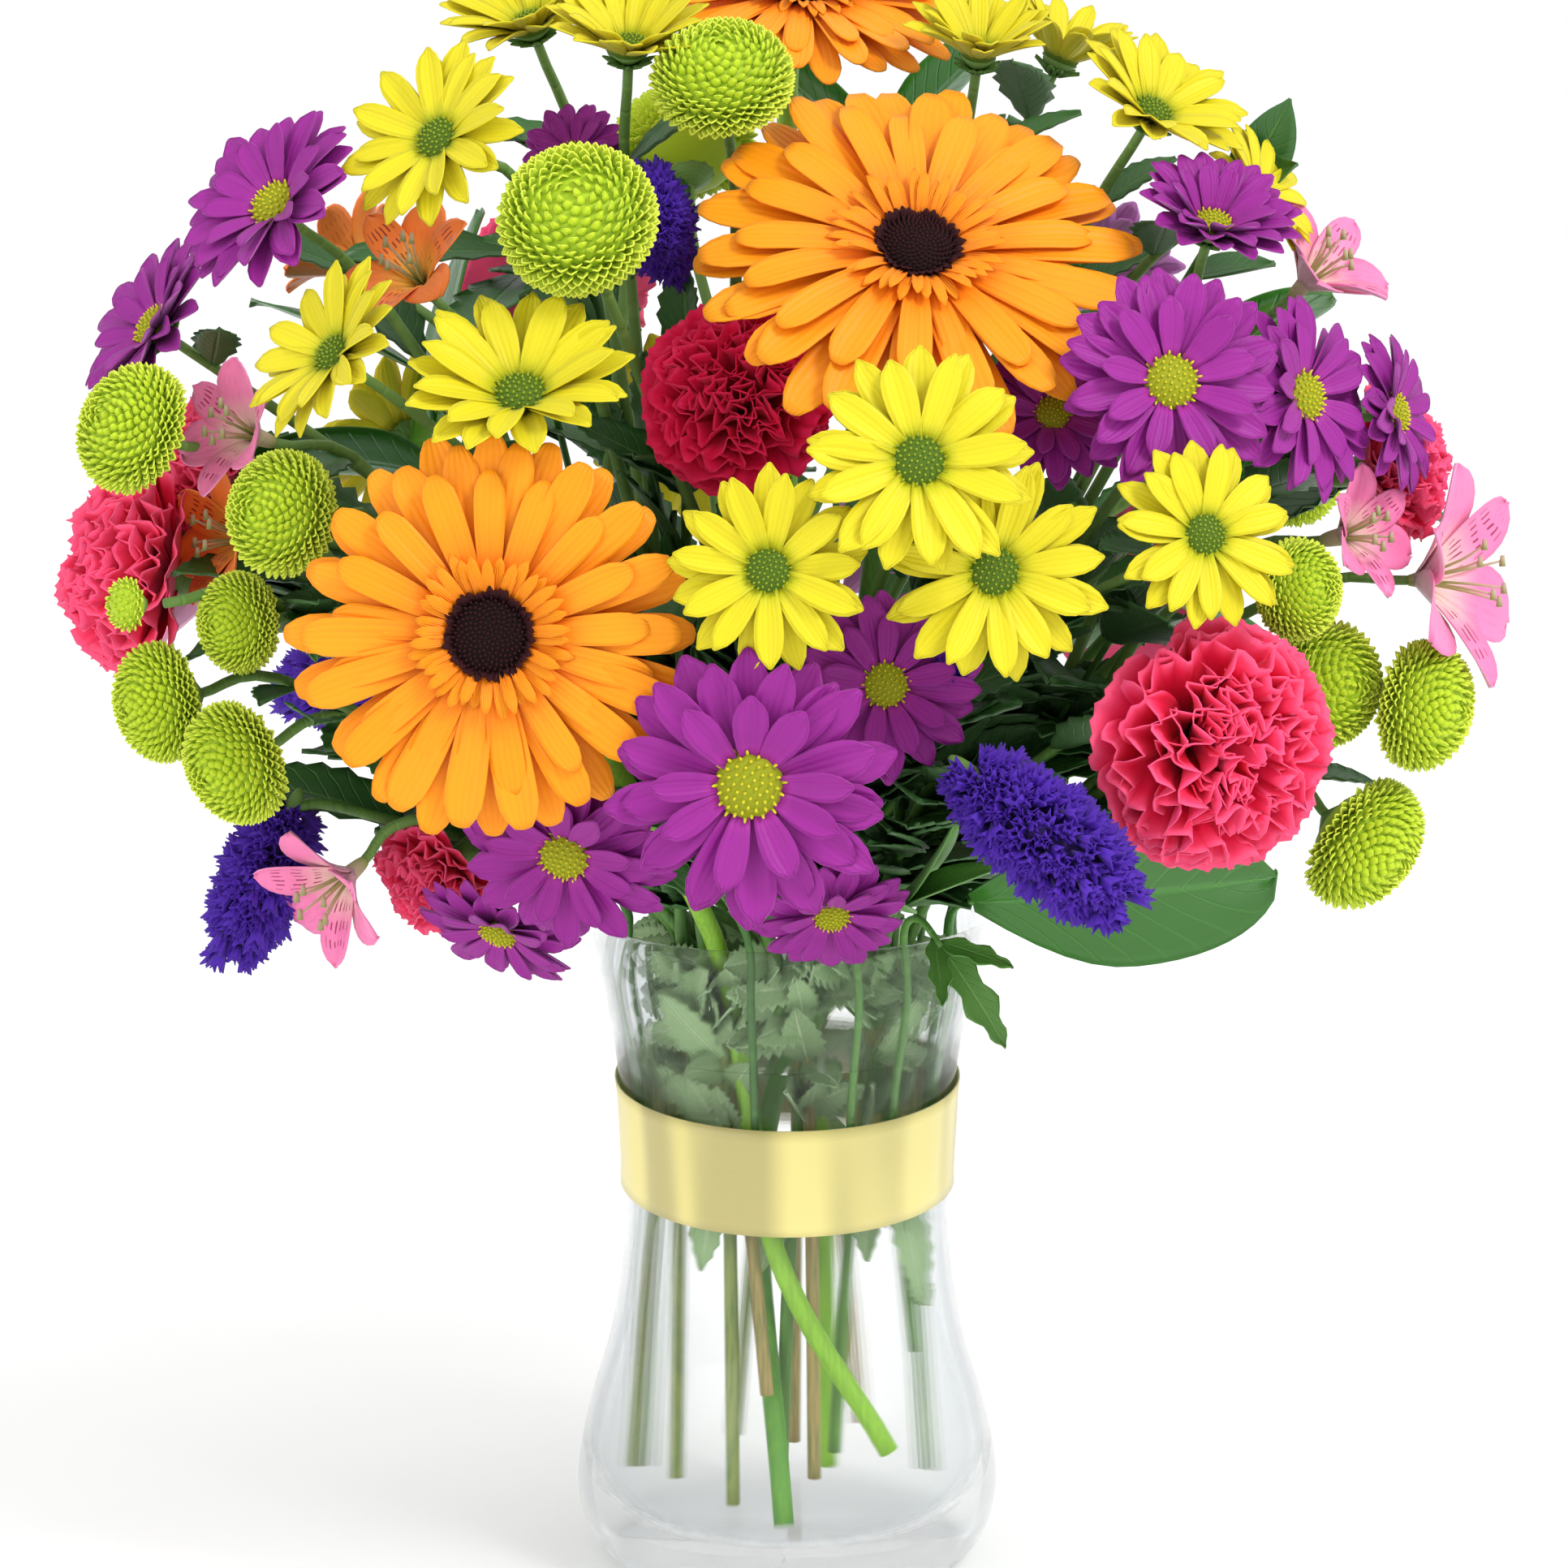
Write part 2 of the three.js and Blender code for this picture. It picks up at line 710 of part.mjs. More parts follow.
function daisy(kind, head, spin, owner, path) {
  const r = head[2] / 2;
  const blunt = kind === "purple" && head[2] > 76;
  const lift = kind === "purple" ? 6 : 14;
  const layers = [{ reach: r, notch: r * (blunt ? 0.5 : 0.44), lift, raise: 0 }];
  const petals = head[2] < 57 ? 8 : blunt ? 10 : 9;
  return petalled(head, { petals, blunt, layers, disc: r * 0.25, crown: 3.4, spin }, owner, path);
}

// Six petals opening from a long throat.
function lily(head, spin, owner, path) {
  const r = head[2] / 2;
  const layers = [{ reach: r, notch: r * 0.36, lift: 34, raise: 0 }];
  return petalled(head, { petals: 6, blunt: false, layers, disc: r * 0.18, crown: -1, spin }, owner, path);
}

// Relief of alternate high and low points over a ball of rings, with the branch that carries it.
function cluster(head, [across, deep], [sides, rows], low, path) {
  const place = headMatrix(head);
  const stem = path && branchRings(path, place, sides);
  const start = stem ? path.length : 0;
  const globe = rosette(sides, rows - 1 + start, (column, level) => {
    if (level <= start && stem) return stem(column, level);
    const angle = Math.PI * (1 - (level - start) / rows);
    const isPole = level === 0 || level === rows + start;
    const rise = isPole ? 0 : (level - start + column) % 2 ? 1 : low;
    const around = (2 * Math.PI * (column + 0.5)) / sides;
    return polar(around, across * Math.sin(angle) * rise, deep * Math.cos(angle));
  });
  return solidOf(globe.applyMatrix4(place));
}

const BUTTON_DEPTH = 0.36; // of its width, from its middle to its back
const button = (head, path) =>
  cluster(head, [head[2] / 2, head[2] * BUTTON_DEPTH], head[2] < 40 ? [6, 6] : [8, 6], 0.86, path);
const statice = (head) => cluster(head, [head[2] * 0.21, head[2] / 2], [6, 7], 0.74);

// A calyx that opens into three ruffled frills.
const CALYX = 0.8; // of the flower's half-width
function carnation(head) {
  const r = head[2] / 2;
  const columns = head[2] < 50 || head[0][1] > 0 ? 10 : 12;
  const rings = [
    [0, -r * CALYX, 0],
    [r * 0.16, -r * CALYX, 0],
    [r * 0.22, -r * 0.4, 0],
    [r, -r * 0.06, 0.1],
    [r * 0.62, r * 0.16, 0.03],
    [r * 0.82, r * 0.36, 0.1],
    [r * 0.42, r * 0.34, 0.03],
    [r * 0.52, r * 0.62, 0.08],
    [r * 0.18, r * 0.44, 0.02],
    [0, r * 0.56, 0],
  ];
  const flower = rosette(columns, rings.length - 2, (column, level) => {
    const [radius, z, fold] = rings[level];
    const wave = (column % 2 ? 1 : -1) * fold;
    return polar((2 * Math.PI * column) / columns, radius * (1 + wave * 0.7), z + wave * r);
  });
  return solidOf(flower.applyMatrix4(headMatrix(head)));
}

// ---------------------------------------------------------------- stems

const KNUCKLE = 3.2; // where a spray forks
const STALK = 1.3; // radius of a frond's stalk
const STALK_STEPS = 4;
const BRANCH = 1.5; // radius of a spray's branches

// The point behind a head where its stem meets it.
const BACK = { yellow: 5, purple: 5, pink: 13, orange: 13 };
const behind = ([centre, face], distance) =>
  new THREE.Vector3(...centre).addScaledVector(facing(face), -distance);

// Where a spray's branches leave its main stem, inside the bouquet.
function forkOf(heads) {
  const middle = new THREE.Vector3();
  heads.forEach(([centre]) => middle.add(new THREE.Vector3(...centre)));
  middle.divideScalar(heads.length);
  const fork = MOUTH.clone().lerp(middle, 0.45);
  return fork.setZ(Math.max(226, fork.z));
}

function knuckle(centre, along) {
  const turn = new THREE.Quaternion().setFromUnitVectors(new THREE.Vector3(0, 0, 1), along);
  const shape = turned([[0, -KNUCKLE], [KNUCKLE, 0], [0, KNUCKLE]], 4).applyQuaternion(turn);
  return solidOf(shape.translate(centre.x, centre.y, centre.z));
}

// Sideways bends, the smallest first.
const BENDS = [0, 7, 14, 22, 30, 40].flatMap((size) =>
  size ? [0, 60, 120, 180, 240, 300].map((turn) => [size, turn]) : [[0, 0]],
);

// The points of a branch from its fork to the back of a head.
function branchPath(fork, head, back, owner) {
  const end = behind(head, back);
  const along = end.clone().sub(fork).normalize();
  const side = new THREE.Vector3(0, 0, 1).cross(along).normalize();
  const over = along.clone().cross(side);
  const make = ([size, turn]) => {
    const middle = behind(head, back + end.distanceTo(fork) * 0.3);
    middle.addScaledVector(side, size * Math.cos(radians(turn)));
    middle.addScaledVector(over, size * Math.sin(radians(turn)));
    return [fork, middle, end];
  };
  const place = headMatrix(head);
  const stick = (path) => {
    const ring = branchRings(path, place, 3, BRANCH + 0.3);
    const tip = end.clone().applyMatrix4(place.clone().invert());
    const rule = (column, level) => (level > path.length ? tip : ring(column, level));
    return solidOf(rosette(3, path.length, rule).applyMatrix4(place));
  };
  const bend = firstClear(BENDS, (b) => stick(make(b)), owner);
  const path = make(bend ?? BENDS[0]);
  claim(owner, stick(path));
  return path;
}

// Ways round: the rim point turned about the axis or nearer to it, and the last bend moved aside or up.
const WAYS = [[0, 0], [14, 0], [-14, 0], [0, 14], [0, -14]].flatMap(([aside, up]) =>
  [40, 30, 20, 46].flatMap((radius) =>
    [0, 12, -12, 24, -24, 38, -38, 54, -54].map((turn) => [radius, turn, aside, up]),
  ),
);

// A stem from the neck to its end, through a point at the rim.
function arm(neck, end, before, radius, owner) {
  const heading = Math.atan2(end.y, end.x);
  const make = ([reach, turn, aside, up]) => {
    const a = heading + radians(turn);
    const rim = new THREE.Vector3(reach * Math.cos(a), reach * Math.sin(a), RIM);
    const side = new THREE.Vector3(-Math.sin(heading) * aside, Math.cos(heading) * aside, up);
    return tube(through([neck, rim, side.add(before), end]), radius, 4, 3);
  };
  const way = firstClear(WAYS, make, owner);
  return make(way ?? WAYS[0]);
}

// A leaf with a pointed end, from its root to its tip.
function leaf([from, tip, width, face], grow = 0) {
  const to = new THREE.Vector3(...tip);
  const along = to.clone().sub(from);
  const length = along.length();
  along.normalize();
  const out = new THREE.Vector3(...face).addScaledVector(along, -along.dot(new THREE.Vector3(...face)));
  out.normalize();
  const half = width / 2 + grow;
  const stations = [[0, 1 + grow, 0], [0.5, half, 0.5], [1, 0.6 + grow, -1]];
  const thick = BLADE + 2 * grow;
  const strip = shaped(new THREE.BoxGeometry(1, 2, 1, 1, 2, 1), (v) => {
    const [part, w, rise] = stations[Math.round(v.y + 1)];
    v.set(2 * v.x * w, part * (length + grow), v.z * thick + rise * 4);
  });
  const place = new THREE.Matrix4().makeBasis(along.clone().cross(out), along, out);
  return solidOf(strip.applyMatrix4(place.setPosition(from)));
}

// A leaf turned a little about its stalk until it is clear, or left out.
const TURNS = [0, 12, -12, 24, -24, 38, -38];
function clearLeaf([from, tip, width, face], owner) {
  const spots = TURNS.flatMap((turn) => [1, 0.8].map((size) => [turn, size]));
  const plan = ([turn, size]) => {
    const along = new THREE.Vector3(...tip).sub(from);
    along.applyAxisAngle(new THREE.Vector3(...face).normalize(), radians(turn)).multiplyScalar(size);
    return [from, along.add(from).toArray(), width * size, face];
  };
  const spot = firstClear(spots, (s) => leaf(plan(s)), owner);
  return spot ? [leaf(plan(spot))] : [];
}

// A stalk whose middle is bent sideways until it is clear.
function stalkCurve(lean, points, owner) {
  const foot = [149, 178].map((z) =>
    polar(radians(lean), innerRadius(z) * Math.cos(Math.PI / VASE.sides) - STALK - 0.5, z),
  );
  const [first, ...rest] = vectors(points);
  const last = rest.pop();
  const make = ([size, turn]) => {
    const shift = new THREE.Vector3(size * Math.cos(radians(turn)), size * Math.sin(radians(turn)), 0);
    return through([...foot, first, ...rest.map((p) => p.clone().add(shift)), last]);
  };
  const bend = firstClear(BENDS, (b) => tube(make(b), STALK, STALK_STEPS, 3), owner);
  return make(bend ?? BENDS[0]);
}

// The point on a faceted stalk that is nearest to a place along its curve.
function onStalk(curve, along) {
  const spot = curve.getPoint(along);
  const stations = curve.getSpacedPoints(STALK_STEPS);
  const near = stations
    .slice(1)
    .map((b, i) => new THREE.Line3(stations[i], b).closestPointToPoint(spot, true, new THREE.Vector3()));
  return near.reduce((a, b) => (a.distanceTo(spot) < b.distanceTo(spot) ? a : b));
}

// ---------------------------------------------------------------- the whole

put("vase", "glass", vase());
put("ribbon", "satin", ribbon());
for (const [name, head] of Object.entries(CARNATIONS))
  put(`carnation_${name}`, "carnation", carnation(head));
for (const [name, head] of Object.entries(STATICE)) put(`statice_${name}`, "statice", statice(head));

// The hearts of all the heads are claimed before any petal or branch is set.
for (const [name, { kind, heads }] of Object.entries(SPRAYS))
  for (const head of heads)
    claim(name, kind === "button" ? button(head) : ball(behind(head, -1), head[2] * 0.14));
for (const [name, head] of Object.entries(GERBERAS)) gerbera(name, head);

const holes = [];
for (const [name, points] of Object.entries(GERBERA_STEMS)) {
  const head = GERBERAS[name];
  const end = behind(head, GERBERA_BACK + GAP + 0.1);
  const curve = through([...vectors(points), behind(head, GERBERA_BACK + 46), end]);
  const owner = `gerbera_${name}_stem`;
  put(owner, "stem", tube(curve, 3, 7, 4));
  holes.push(tube(earlier(curve, 0.7), 3.9, 7, 4));
}

// Where the stems end: the point, and the one before it.
const ends = {};
const paths = {};
for (const [name, { kind, heads, fork: chosen }] of Object.entries(SPRAYS)) {
  const fork = chosen ? new THREE.Vector3(...chosen) : forkOf(heads);
  const from = fork.clone().sub(MOUTH).normalize();
  put(name, kind, knuckle(fork, from));
  ends[name] = [GAP, 14].map((distance) => fork.clone().addScaledVector(from, -KNUCKLE - distance));
  paths[name] = heads.map((head) =>
    branchPath(fork, head, BACK[kind] ?? head[2] * BUTTON_DEPTH * 0.85, name),
  );
}
for (const [name, head] of Object.entries(CARNATIONS)) {
  const back = (head[2] / 2) * CALYX + GAP;
  ends[`carnation_${name}`] = [back, back + 26].map((distance) => behind(head, distance));
}
for (const [name, head] of Object.entries(STATICE)) {
  const back = head[2] / 2 + GAP;
  ends[`statice_${name}`] = [back, back + 16].map((distance) => behind(head, distance));
}

for (const [name, bundle] of Object.entries(BUNDLES)) {
  const neck = new THREE.Vector3(...bundle.neck, NECK);
  put(name, "stem", ball(neck, 3.6));
  for (const target of bundle.ends) put(name, "stem", arm(neck, ...ends[target], 1.7, name));
  const legs = bundle.feet.map(([x, y, z]) => {
    const knee = new THREE.Vector3(x, y, 70).lerp(neck, 0.4);
    return through([new THREE.Vector3(x, y, z), knee, neck]);
  });
  for (const leg of legs) {
    put(name, "stem", tube(leg, 2, 2, 4));
    holes.push(tube(earlier(leg, 0.7), 2.8, 2, 4));
  }
  for (const [which, along, ...blade] of VASE_LEAVES[name] ?? []) {
    const plan = [legs[which].getPoint(along), ...blade];
    if (!isClear(leaf(plan), name)) continue;
    put(name, "stem", leaf(plan));
    holes.push(leaf(plan, 0.9));
  }
}

for (const [name, { kind, heads }] of Object.entries(SPRAYS))
  heads.forEach((head, i) => {
    const path = paths[name][i];
    const spin = (i * 0.37) % 1;
    if (kind === "button") put(name, kind, button(head, path));
    else if (kind === "yellow" || kind === "purple") put(name, kind, daisy(kind, head, spin, name, path));
    else put(name, kind, lily(head, spin, name, path));
  });

for (const [name, { lean, stalk, leaves }] of Object.entries(FRONDS)) {
  const curve = stalkCurve(lean, stalk, name);
  put(name, "leaf", tube(curve, STALK, STALK_STEPS, 3));
  holes.push(tube(earlier(curve, 0.7), STALK + 0.8, STALK_STEPS, 3));
  for (const [along, ...blade] of leaves)
    put(name, "leaf", ...clearLeaf([onStalk(curve, along), ...blade], name));
}

put("water", "water", water(holes));

const root = new THREE.Group();
for (const [name, { colour, pieces }] of nodes) {
  const solid = pieces.reduce((all, piece) => all.add(piece));
  const material = new THREE.MeshStandardMaterial({ metalness: 0, ...COLOURS[colour] });
  const mesh = new THREE.Mesh(geometryOf(solid), material);
  mesh.name = name;
  root.add(mesh);
}
export default root;
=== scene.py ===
"""A gathered bouquet of gerberas, chrysanthemums, carnations, statice, alstroemeria and greenery
in a flared glass vase with a satin ribbon.

Shapes are worked out in millimetres in the part's own frame: +Z up, the front towards -Y.
"""

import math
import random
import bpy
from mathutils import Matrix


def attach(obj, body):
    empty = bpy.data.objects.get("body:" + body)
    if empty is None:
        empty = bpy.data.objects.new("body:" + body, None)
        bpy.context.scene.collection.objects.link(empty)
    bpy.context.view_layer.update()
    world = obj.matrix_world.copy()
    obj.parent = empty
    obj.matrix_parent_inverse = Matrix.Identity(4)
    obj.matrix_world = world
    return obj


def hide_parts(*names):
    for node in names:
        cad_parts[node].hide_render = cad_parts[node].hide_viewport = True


bl_info = {
    "name": "Gerberas in a Vase",
    "version": (1, 0, 0),
    "blender": (4, 5, 0),
    "location": "3D View > Sidebar > Bouquet",
    "description": "Models a mixed gerbera bouquet in its glass vase",
    "category": "Object",
}

from functools import partial

import bmesh
import bpy
from bpy.props import FloatProperty, FloatVectorProperty, IntProperty, PointerProperty
from mathutils import Matrix, Vector

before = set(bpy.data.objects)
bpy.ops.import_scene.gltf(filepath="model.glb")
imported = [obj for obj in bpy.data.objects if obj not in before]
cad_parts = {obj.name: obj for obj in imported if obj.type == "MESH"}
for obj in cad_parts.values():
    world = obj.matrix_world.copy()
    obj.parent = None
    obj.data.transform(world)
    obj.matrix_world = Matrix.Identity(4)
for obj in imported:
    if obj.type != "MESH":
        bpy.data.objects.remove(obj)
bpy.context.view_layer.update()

MM = 0.001
UP = Vector((0, 0, 1))
GOLDEN_ANGLE = 137.508

# The camera of the photograph, in metres and degrees.
LENS, SENSOR = 117.15, 36
CAMERA_PLACE = (-0.001, -1.5, 0.478)
CAMERA_DIP = 9.16

# ---------------------------------------------------------------- the arrangement, in millimetres

VASE_OUTER = [(52, 0), (60, 8), (63.6, 24), (60, 46), (52.5, 73), (48.6, 108), (50.6, 148), (59, 195)]
VASE_WALL = 3
VASE_FLOOR = 14
WATER_LEVEL = 158
RIBBON_LOW, RIBBON_HIGH, RIBBON_DIP = 116, 148, 6
WALL_START = 30  # above it the glass is as thick as its wall, below it the floor rounds off
NECK, RIM = 163, 198
MOUTH = Vector((0, 0, 190))


# Each head: its centre, the way it faces (turn from the front towards +X, then lift) and its width.
GERBERAS = {
    "left": ((-78, -168, 303), (-4, 6), 112),
    "right": ((35, -108, 399), (8, 44), 128),
    "top": ((4, -4, 468), (10, 62), 100),
}
GERBERA_STEMS = {
    "left": [(30, -39, 42), (-4, -37, 104), (-22, -38, RIM)],
    "right": [(-1, -42, 20), (-8, -1, 120), (12, -16, RIM)],
    "top": [(12, 8, 24), (10, 4, 120), (2, 6, RIM)],
}
CARNATIONS = {
    "middle": ((-14, -96, 360), (-8, 20), 58),
    "right": ((116, -142, 269), (26, -4), 72),
    "left": ((-186, -58, 306), (-66, 6), 64),
    "far_left": ((-166, -36, 336), (-66, 26), 48),
    "far_right": ((172, -60, 338), (74, 14), 48),
    "low": ((-100, -66, 219), (-46, -34), 42),
    "back_left": ((-74, 112, 376), (205, 24), 70),
    "back_right": ((114, 96, 276), (140, 2), 72),
}
STATICE = {
    "left": ((-149, -76, 221), (-74, -66), 60),
    "right": ((68, -168, 249), (60, -34), 74),
    "middle": ((40, -126, 286), (14, 24), 40),
    "top": ((-36, -80, 406), (-18, 52), 44),
    "back": ((-134, 70, 258), (236, -14), 70),
}
YELLOW = {
    "left": [
        ((-95, -100, 430), (-36, 28), 60), ((-72, -50, 460), (-30, 58), 58),
        ((-44, -74, 454), (4, 62), 54), ((-122, -124, 373), (-52, 34), 58),
        ((-71, -148, 364), (-4, 50), 70),
    ],
    "front": [
        ((34, -182, 350), (2, 18), 66), ((-5, -184, 322), (-6, 4), 58), ((54, -170, 320), (8, 10), 64),
        ((110, -157, 328), (18, 18), 56),
    ],
    "right": [
        ((101, -72, 436), (38, 50), 58), ((54, -42, 452), (14, 66), 50), ((132, -60, 414), (62, 34), 46),
        ((80, 10, 450), (70, 66), 54),
    ],
    "back": [
        ((-30, 132, 330), (190, 12), 74), ((-120, 98, 330), (220, 20), 68),
        ((36, 122, 378), (168, 34), 72),
    ],
}
PURPLE = {
    "left": [
        ((-141, -84, 411), (-42, 36), 64), ((-177, -66, 376), (-62, 34), 60),
        ((-60, -50, 424), (-20, 30), 34),
    ],
    "right": [
        ((116, -98, 406), (24, 56), 52), ((102, -138, 367), (12, 14), 66),
        ((140, -112, 361), (48, 14), 60), ((168, -86, 354), (64, 12), 50), ((72, -112, 356), (6, 26), 46),
    ],
    "front": [
        ((-10, -180, 265), (-2, -4), 80), ((-60, -142, 240), (-14, -24), 62),
        ((-80, -104, 212), (-30, -48), 50), ((12, -128, 221), (6, -38), 46),
        ((26, -142, 286), (10, 6), 56),
    ],
    "back": [
        ((-66, 122, 266), (206, -6), 74), ((44, 136, 300), (162, 6), 74), ((94, 86, 382), (140, 38), 68),
    ],
}
BUTTONS = {
    "left": [
        ((-180, -98, 351), (-50, 22), 39), ((-137, -122, 330), (-42, 12), 37),
        ((-174, -98, 275), (-58, -6), 36), ((-151, -104, 298), (-48, 2), 30),
        ((-151, -118, 261), (-48, -16), 37), ((-181, -112, 304), (-60, 2), 16),
    ],
    "top": [((-18, -88, 446), (-6, 52), 42), ((-56, -134, 410), (-12, 34), 46)],
    "right": [
        ((150, -90, 279), (38, 0), 38), ((177, -91, 273), (56, -4), 39), ((162, -86, 233), (54, -28), 42),
        ((139, -118, 309), (44, 6), 30),
    ],
    "back": [
        ((8, 130, 252), (180, -8), 46), ((-32, 88, 422), (192, 50), 48), ((152, 44, 330), (112, 12), 46),
    ],
}
LILIES = {
    "right": [
        ((186, -81, 308), (62, 8), 62), ((150, -60, 393), (56, 44), 44), ((158, -96, 322), (48, 14), 38),
    ],
    "left": [((-127, -96, 222), (-46, -30), 46), ((-152, -90, 350), (-46, 20), 40)],
    "back": [((-174, 20, 300), (265, 6), 62), ((-152, 66, 306), (242, 4), 54)],
    "orange": [
        ((-104, -86, 394), (-34, 40), 42), ((-158, -70, 318), (-56, 10), 42),
        ((-132, 34, 392), (250, 40), 46),
    ],
}
FORKS = {
    "yellow_front": (14, -66, 268), "button_left": (-94, -52, 250), "alstroemeria_left": (-62, -60, 238),
}

# Stems that cross at one point of the neck: where they end, and where their cut ends stand.
BUNDLES = {
    "left": ((-30, 6), [
        "button_left", "purple_left", "alstroemeria_orange", "carnation_left", "carnation_far_left",
    ], [(-46, -20, 32), (-33, -26, 30), (-44, 14, 22)]),
    "front_left": ((-18, -26), [
        "yellow_left", "button_top", "alstroemeria_left", "carnation_middle", "carnation_low",
        "statice_left", "statice_top",
    ], [(-6, -34, 58), (-16, -40, 26)]),
    "front": ((6, -22), [
        "purple_front", "yellow_front", "statice_middle", "statice_right",
    ], [(8, -26, 30), (-2, -16, 24)]),
    "right": ((26, -14), [
        "purple_right", "yellow_right", "button_right", "alstroemeria_right", "carnation_right",
        "carnation_far_right",
    ], [(14, -12, 34), (38, -14, 66), (42, 4, 24)]),
    "back": ((4, 26), [
        "yellow_back", "purple_back", "button_back", "alstroemeria_back", "carnation_back_left",
        "carnation_back_right", "statice_back",
    ], [(-16, 34, 26), (22, 34, 30), (2, 40, 22)]),
}

# Greenery: how it looks, the angle at which the stalk leans on the glass, its points above the rim,
# and its leaves as (place along the stalk above the rim, tip, width, the way the blade faces).
FRONDS = {
    "salal_right": ("broad", -21, [(48, -24, 200), (52, -50, 210), (52, -84, 216)], [
        (1, (135, -111, 227), 50, (0.1, -0.8, -0.5)),
    ]),
    "lobed_right": ("lobed", -47, [(34, -40, 199), (38, -58, 206), (44, -68, 200)], [
        (0.95, (63, -74, 172), 13, (0.3, -0.9, 0.3)), (0.95, (64, -78, 196), 8, (0, -0.7, 0.7)),
        (0.85, (44, -82, 186), 8, (0.2, -0.7, 0.5)),
    ]),
    "strap_front": ("strap", -66, [(20, -48, 199), (25, -70, 208), (30, -100, 218)], [
        (0.92, (46, -124, 246), 15, (0.7, -0.6, 0.2)), (0.97, (58, -122, 232), 13, (0.5, -0.6, 0.6)),
        (0.97, (30, -124, 224), 12, (0.6, -0.2, 0.7)),
    ]),
    "leaves_right": ("toothed", 5, [(50, -2, 200), (62, -30, 232), (84, -66, 276), (96, -84, 300)], [
        (0.68, (72, -116, 284), 32, (0.2, -0.5, 0.8)), (0.83, (104, -120, 300), 26, (0.5, -0.6, 0.7)),
        (0.97, (70, -122, 306), 24, (-0.2, -0.6, 0.8)),
    ]),
    "ruscus_right": ("plain", 38, [(44, 26, 204), (64, 4, 280), (100, -20, 360), (128, -38, 412)], [
        (0.98, (142, -46, 440), 17, (0.3, -0.8, 0.3)), (0.98, (143, -52, 422), 14, (0.4, -0.7, 0.5)),
        (0.83, (140, -30, 392), 16, (0.2, -0.3, 0.9)), (0.58, (116, 4, 362), 18, (0.3, 0.2, 0.9)),
    ]),
    "leaves_front": ("toothed", -102, [
        (-12, -50, 200), (-26, -74, 232), (-30, -100, 280), (-28, -116, 306),
    ], [
        (0.83, (-28, -154, 312), 26, (-0.3, -0.5, 0.8)), (0.97, (6, -142, 322), 22, (0.4, -0.6, 0.7)),
        (0.65, (-44, -116, 284), 22, (-0.4, -0.6, 0.6)),
    ]),
    "leaves_left": ("toothed", -163, [
        (-49, -16, 204), (-80, -24, 244), (-118, -46, 290), (-140, -60, 306),
    ], [
        (0.97, (-172, -84, 308), 24, (-0.4, -0.5, 0.8)), (0.76, (-134, -20, 312), 24, (-0.5, 0.1, 0.8)),
    ]),
    "leaves_top": ("toothed", 142, [(-42, 28, 204), (-56, 8, 290), (-70, -20, 360), (-76, -40, 396)], [
        (0.93, (-90, -86, 372), 24, (-0.3, -0.7, 0.5)), (0.98, (-128, -56, 396), 20, (-0.3, -0.5, 0.8)),
        (0.55, (-98, 24, 364), 24, (-0.4, 0.3, 0.8)),
    ]),
    "leaves_back": ("toothed", 88, [(4, 51, 202), (10, 74, 240), (16, 96, 300), (8, 104, 344)], [
        (0.55, (-26, 122, 300), 28, (-0.2, 0.8, 0.5)), (0.65, (62, 112, 330), 28, (0.3, 0.8, 0.5)),
        (0.92, (-12, 116, 376), 26, (-0.1, 0.9, 0.4)), (0.3, (34, 110, 236), 28, (0.3, 0.7, 0.6)),
    ]),
    "leaves_side_right": ("broad", 20, [(52, 14, 202), (84, 26, 250), (112, 36, 310), (120, 34, 352)], [
        (0.98, (160, 16, 384), 34, (0.4, 0, 0.8)), (0.8, (156, -20, 330), 34, (0.8, -0.2, 0.5)),
        (0.74, (128, 92, 336), 36, (0.5, 0.6, 0.5)), (0.56, (146, 38, 272), 36, (0.8, 0.2, 0.4)),
    ]),
    "leaves_side_left": ("broad", 160, [
        (-50.5, 18.5, 202), (-80, 22, 250), (-100, 22, 310), (-108, 24, 356),
    ], [
        (0.98, (-160, 22, 378), 34, (-0.4, 0, 0.8)), (0.8, (-160, -6, 338), 34, (-0.8, -0.2, 0.5)),
        (0.74, (-112, 104, 362), 34, (-0.4, 0.7, 0.5)), (0.9, (-96, 62, 404), 30, (-0.2, 0.4, 0.9)),
    ]),
    "leaves_crown": ("broad", 60, [(27, 48, 202), (28, 56, 300), (30, 60, 380), (30, 62, 420)], [
        (0.98, (62, 62, 458), 32, (0.3, 0.2, 0.9)), (0.92, (-14, 58, 454), 32, (-0.2, 0.2, 0.9)),
        (0.84, (30, 118, 424), 34, (0, 0.7, 0.7)), (0.7, (78, 44, 404), 32, (0.5, 0.2, 0.7)),
    ]),
}

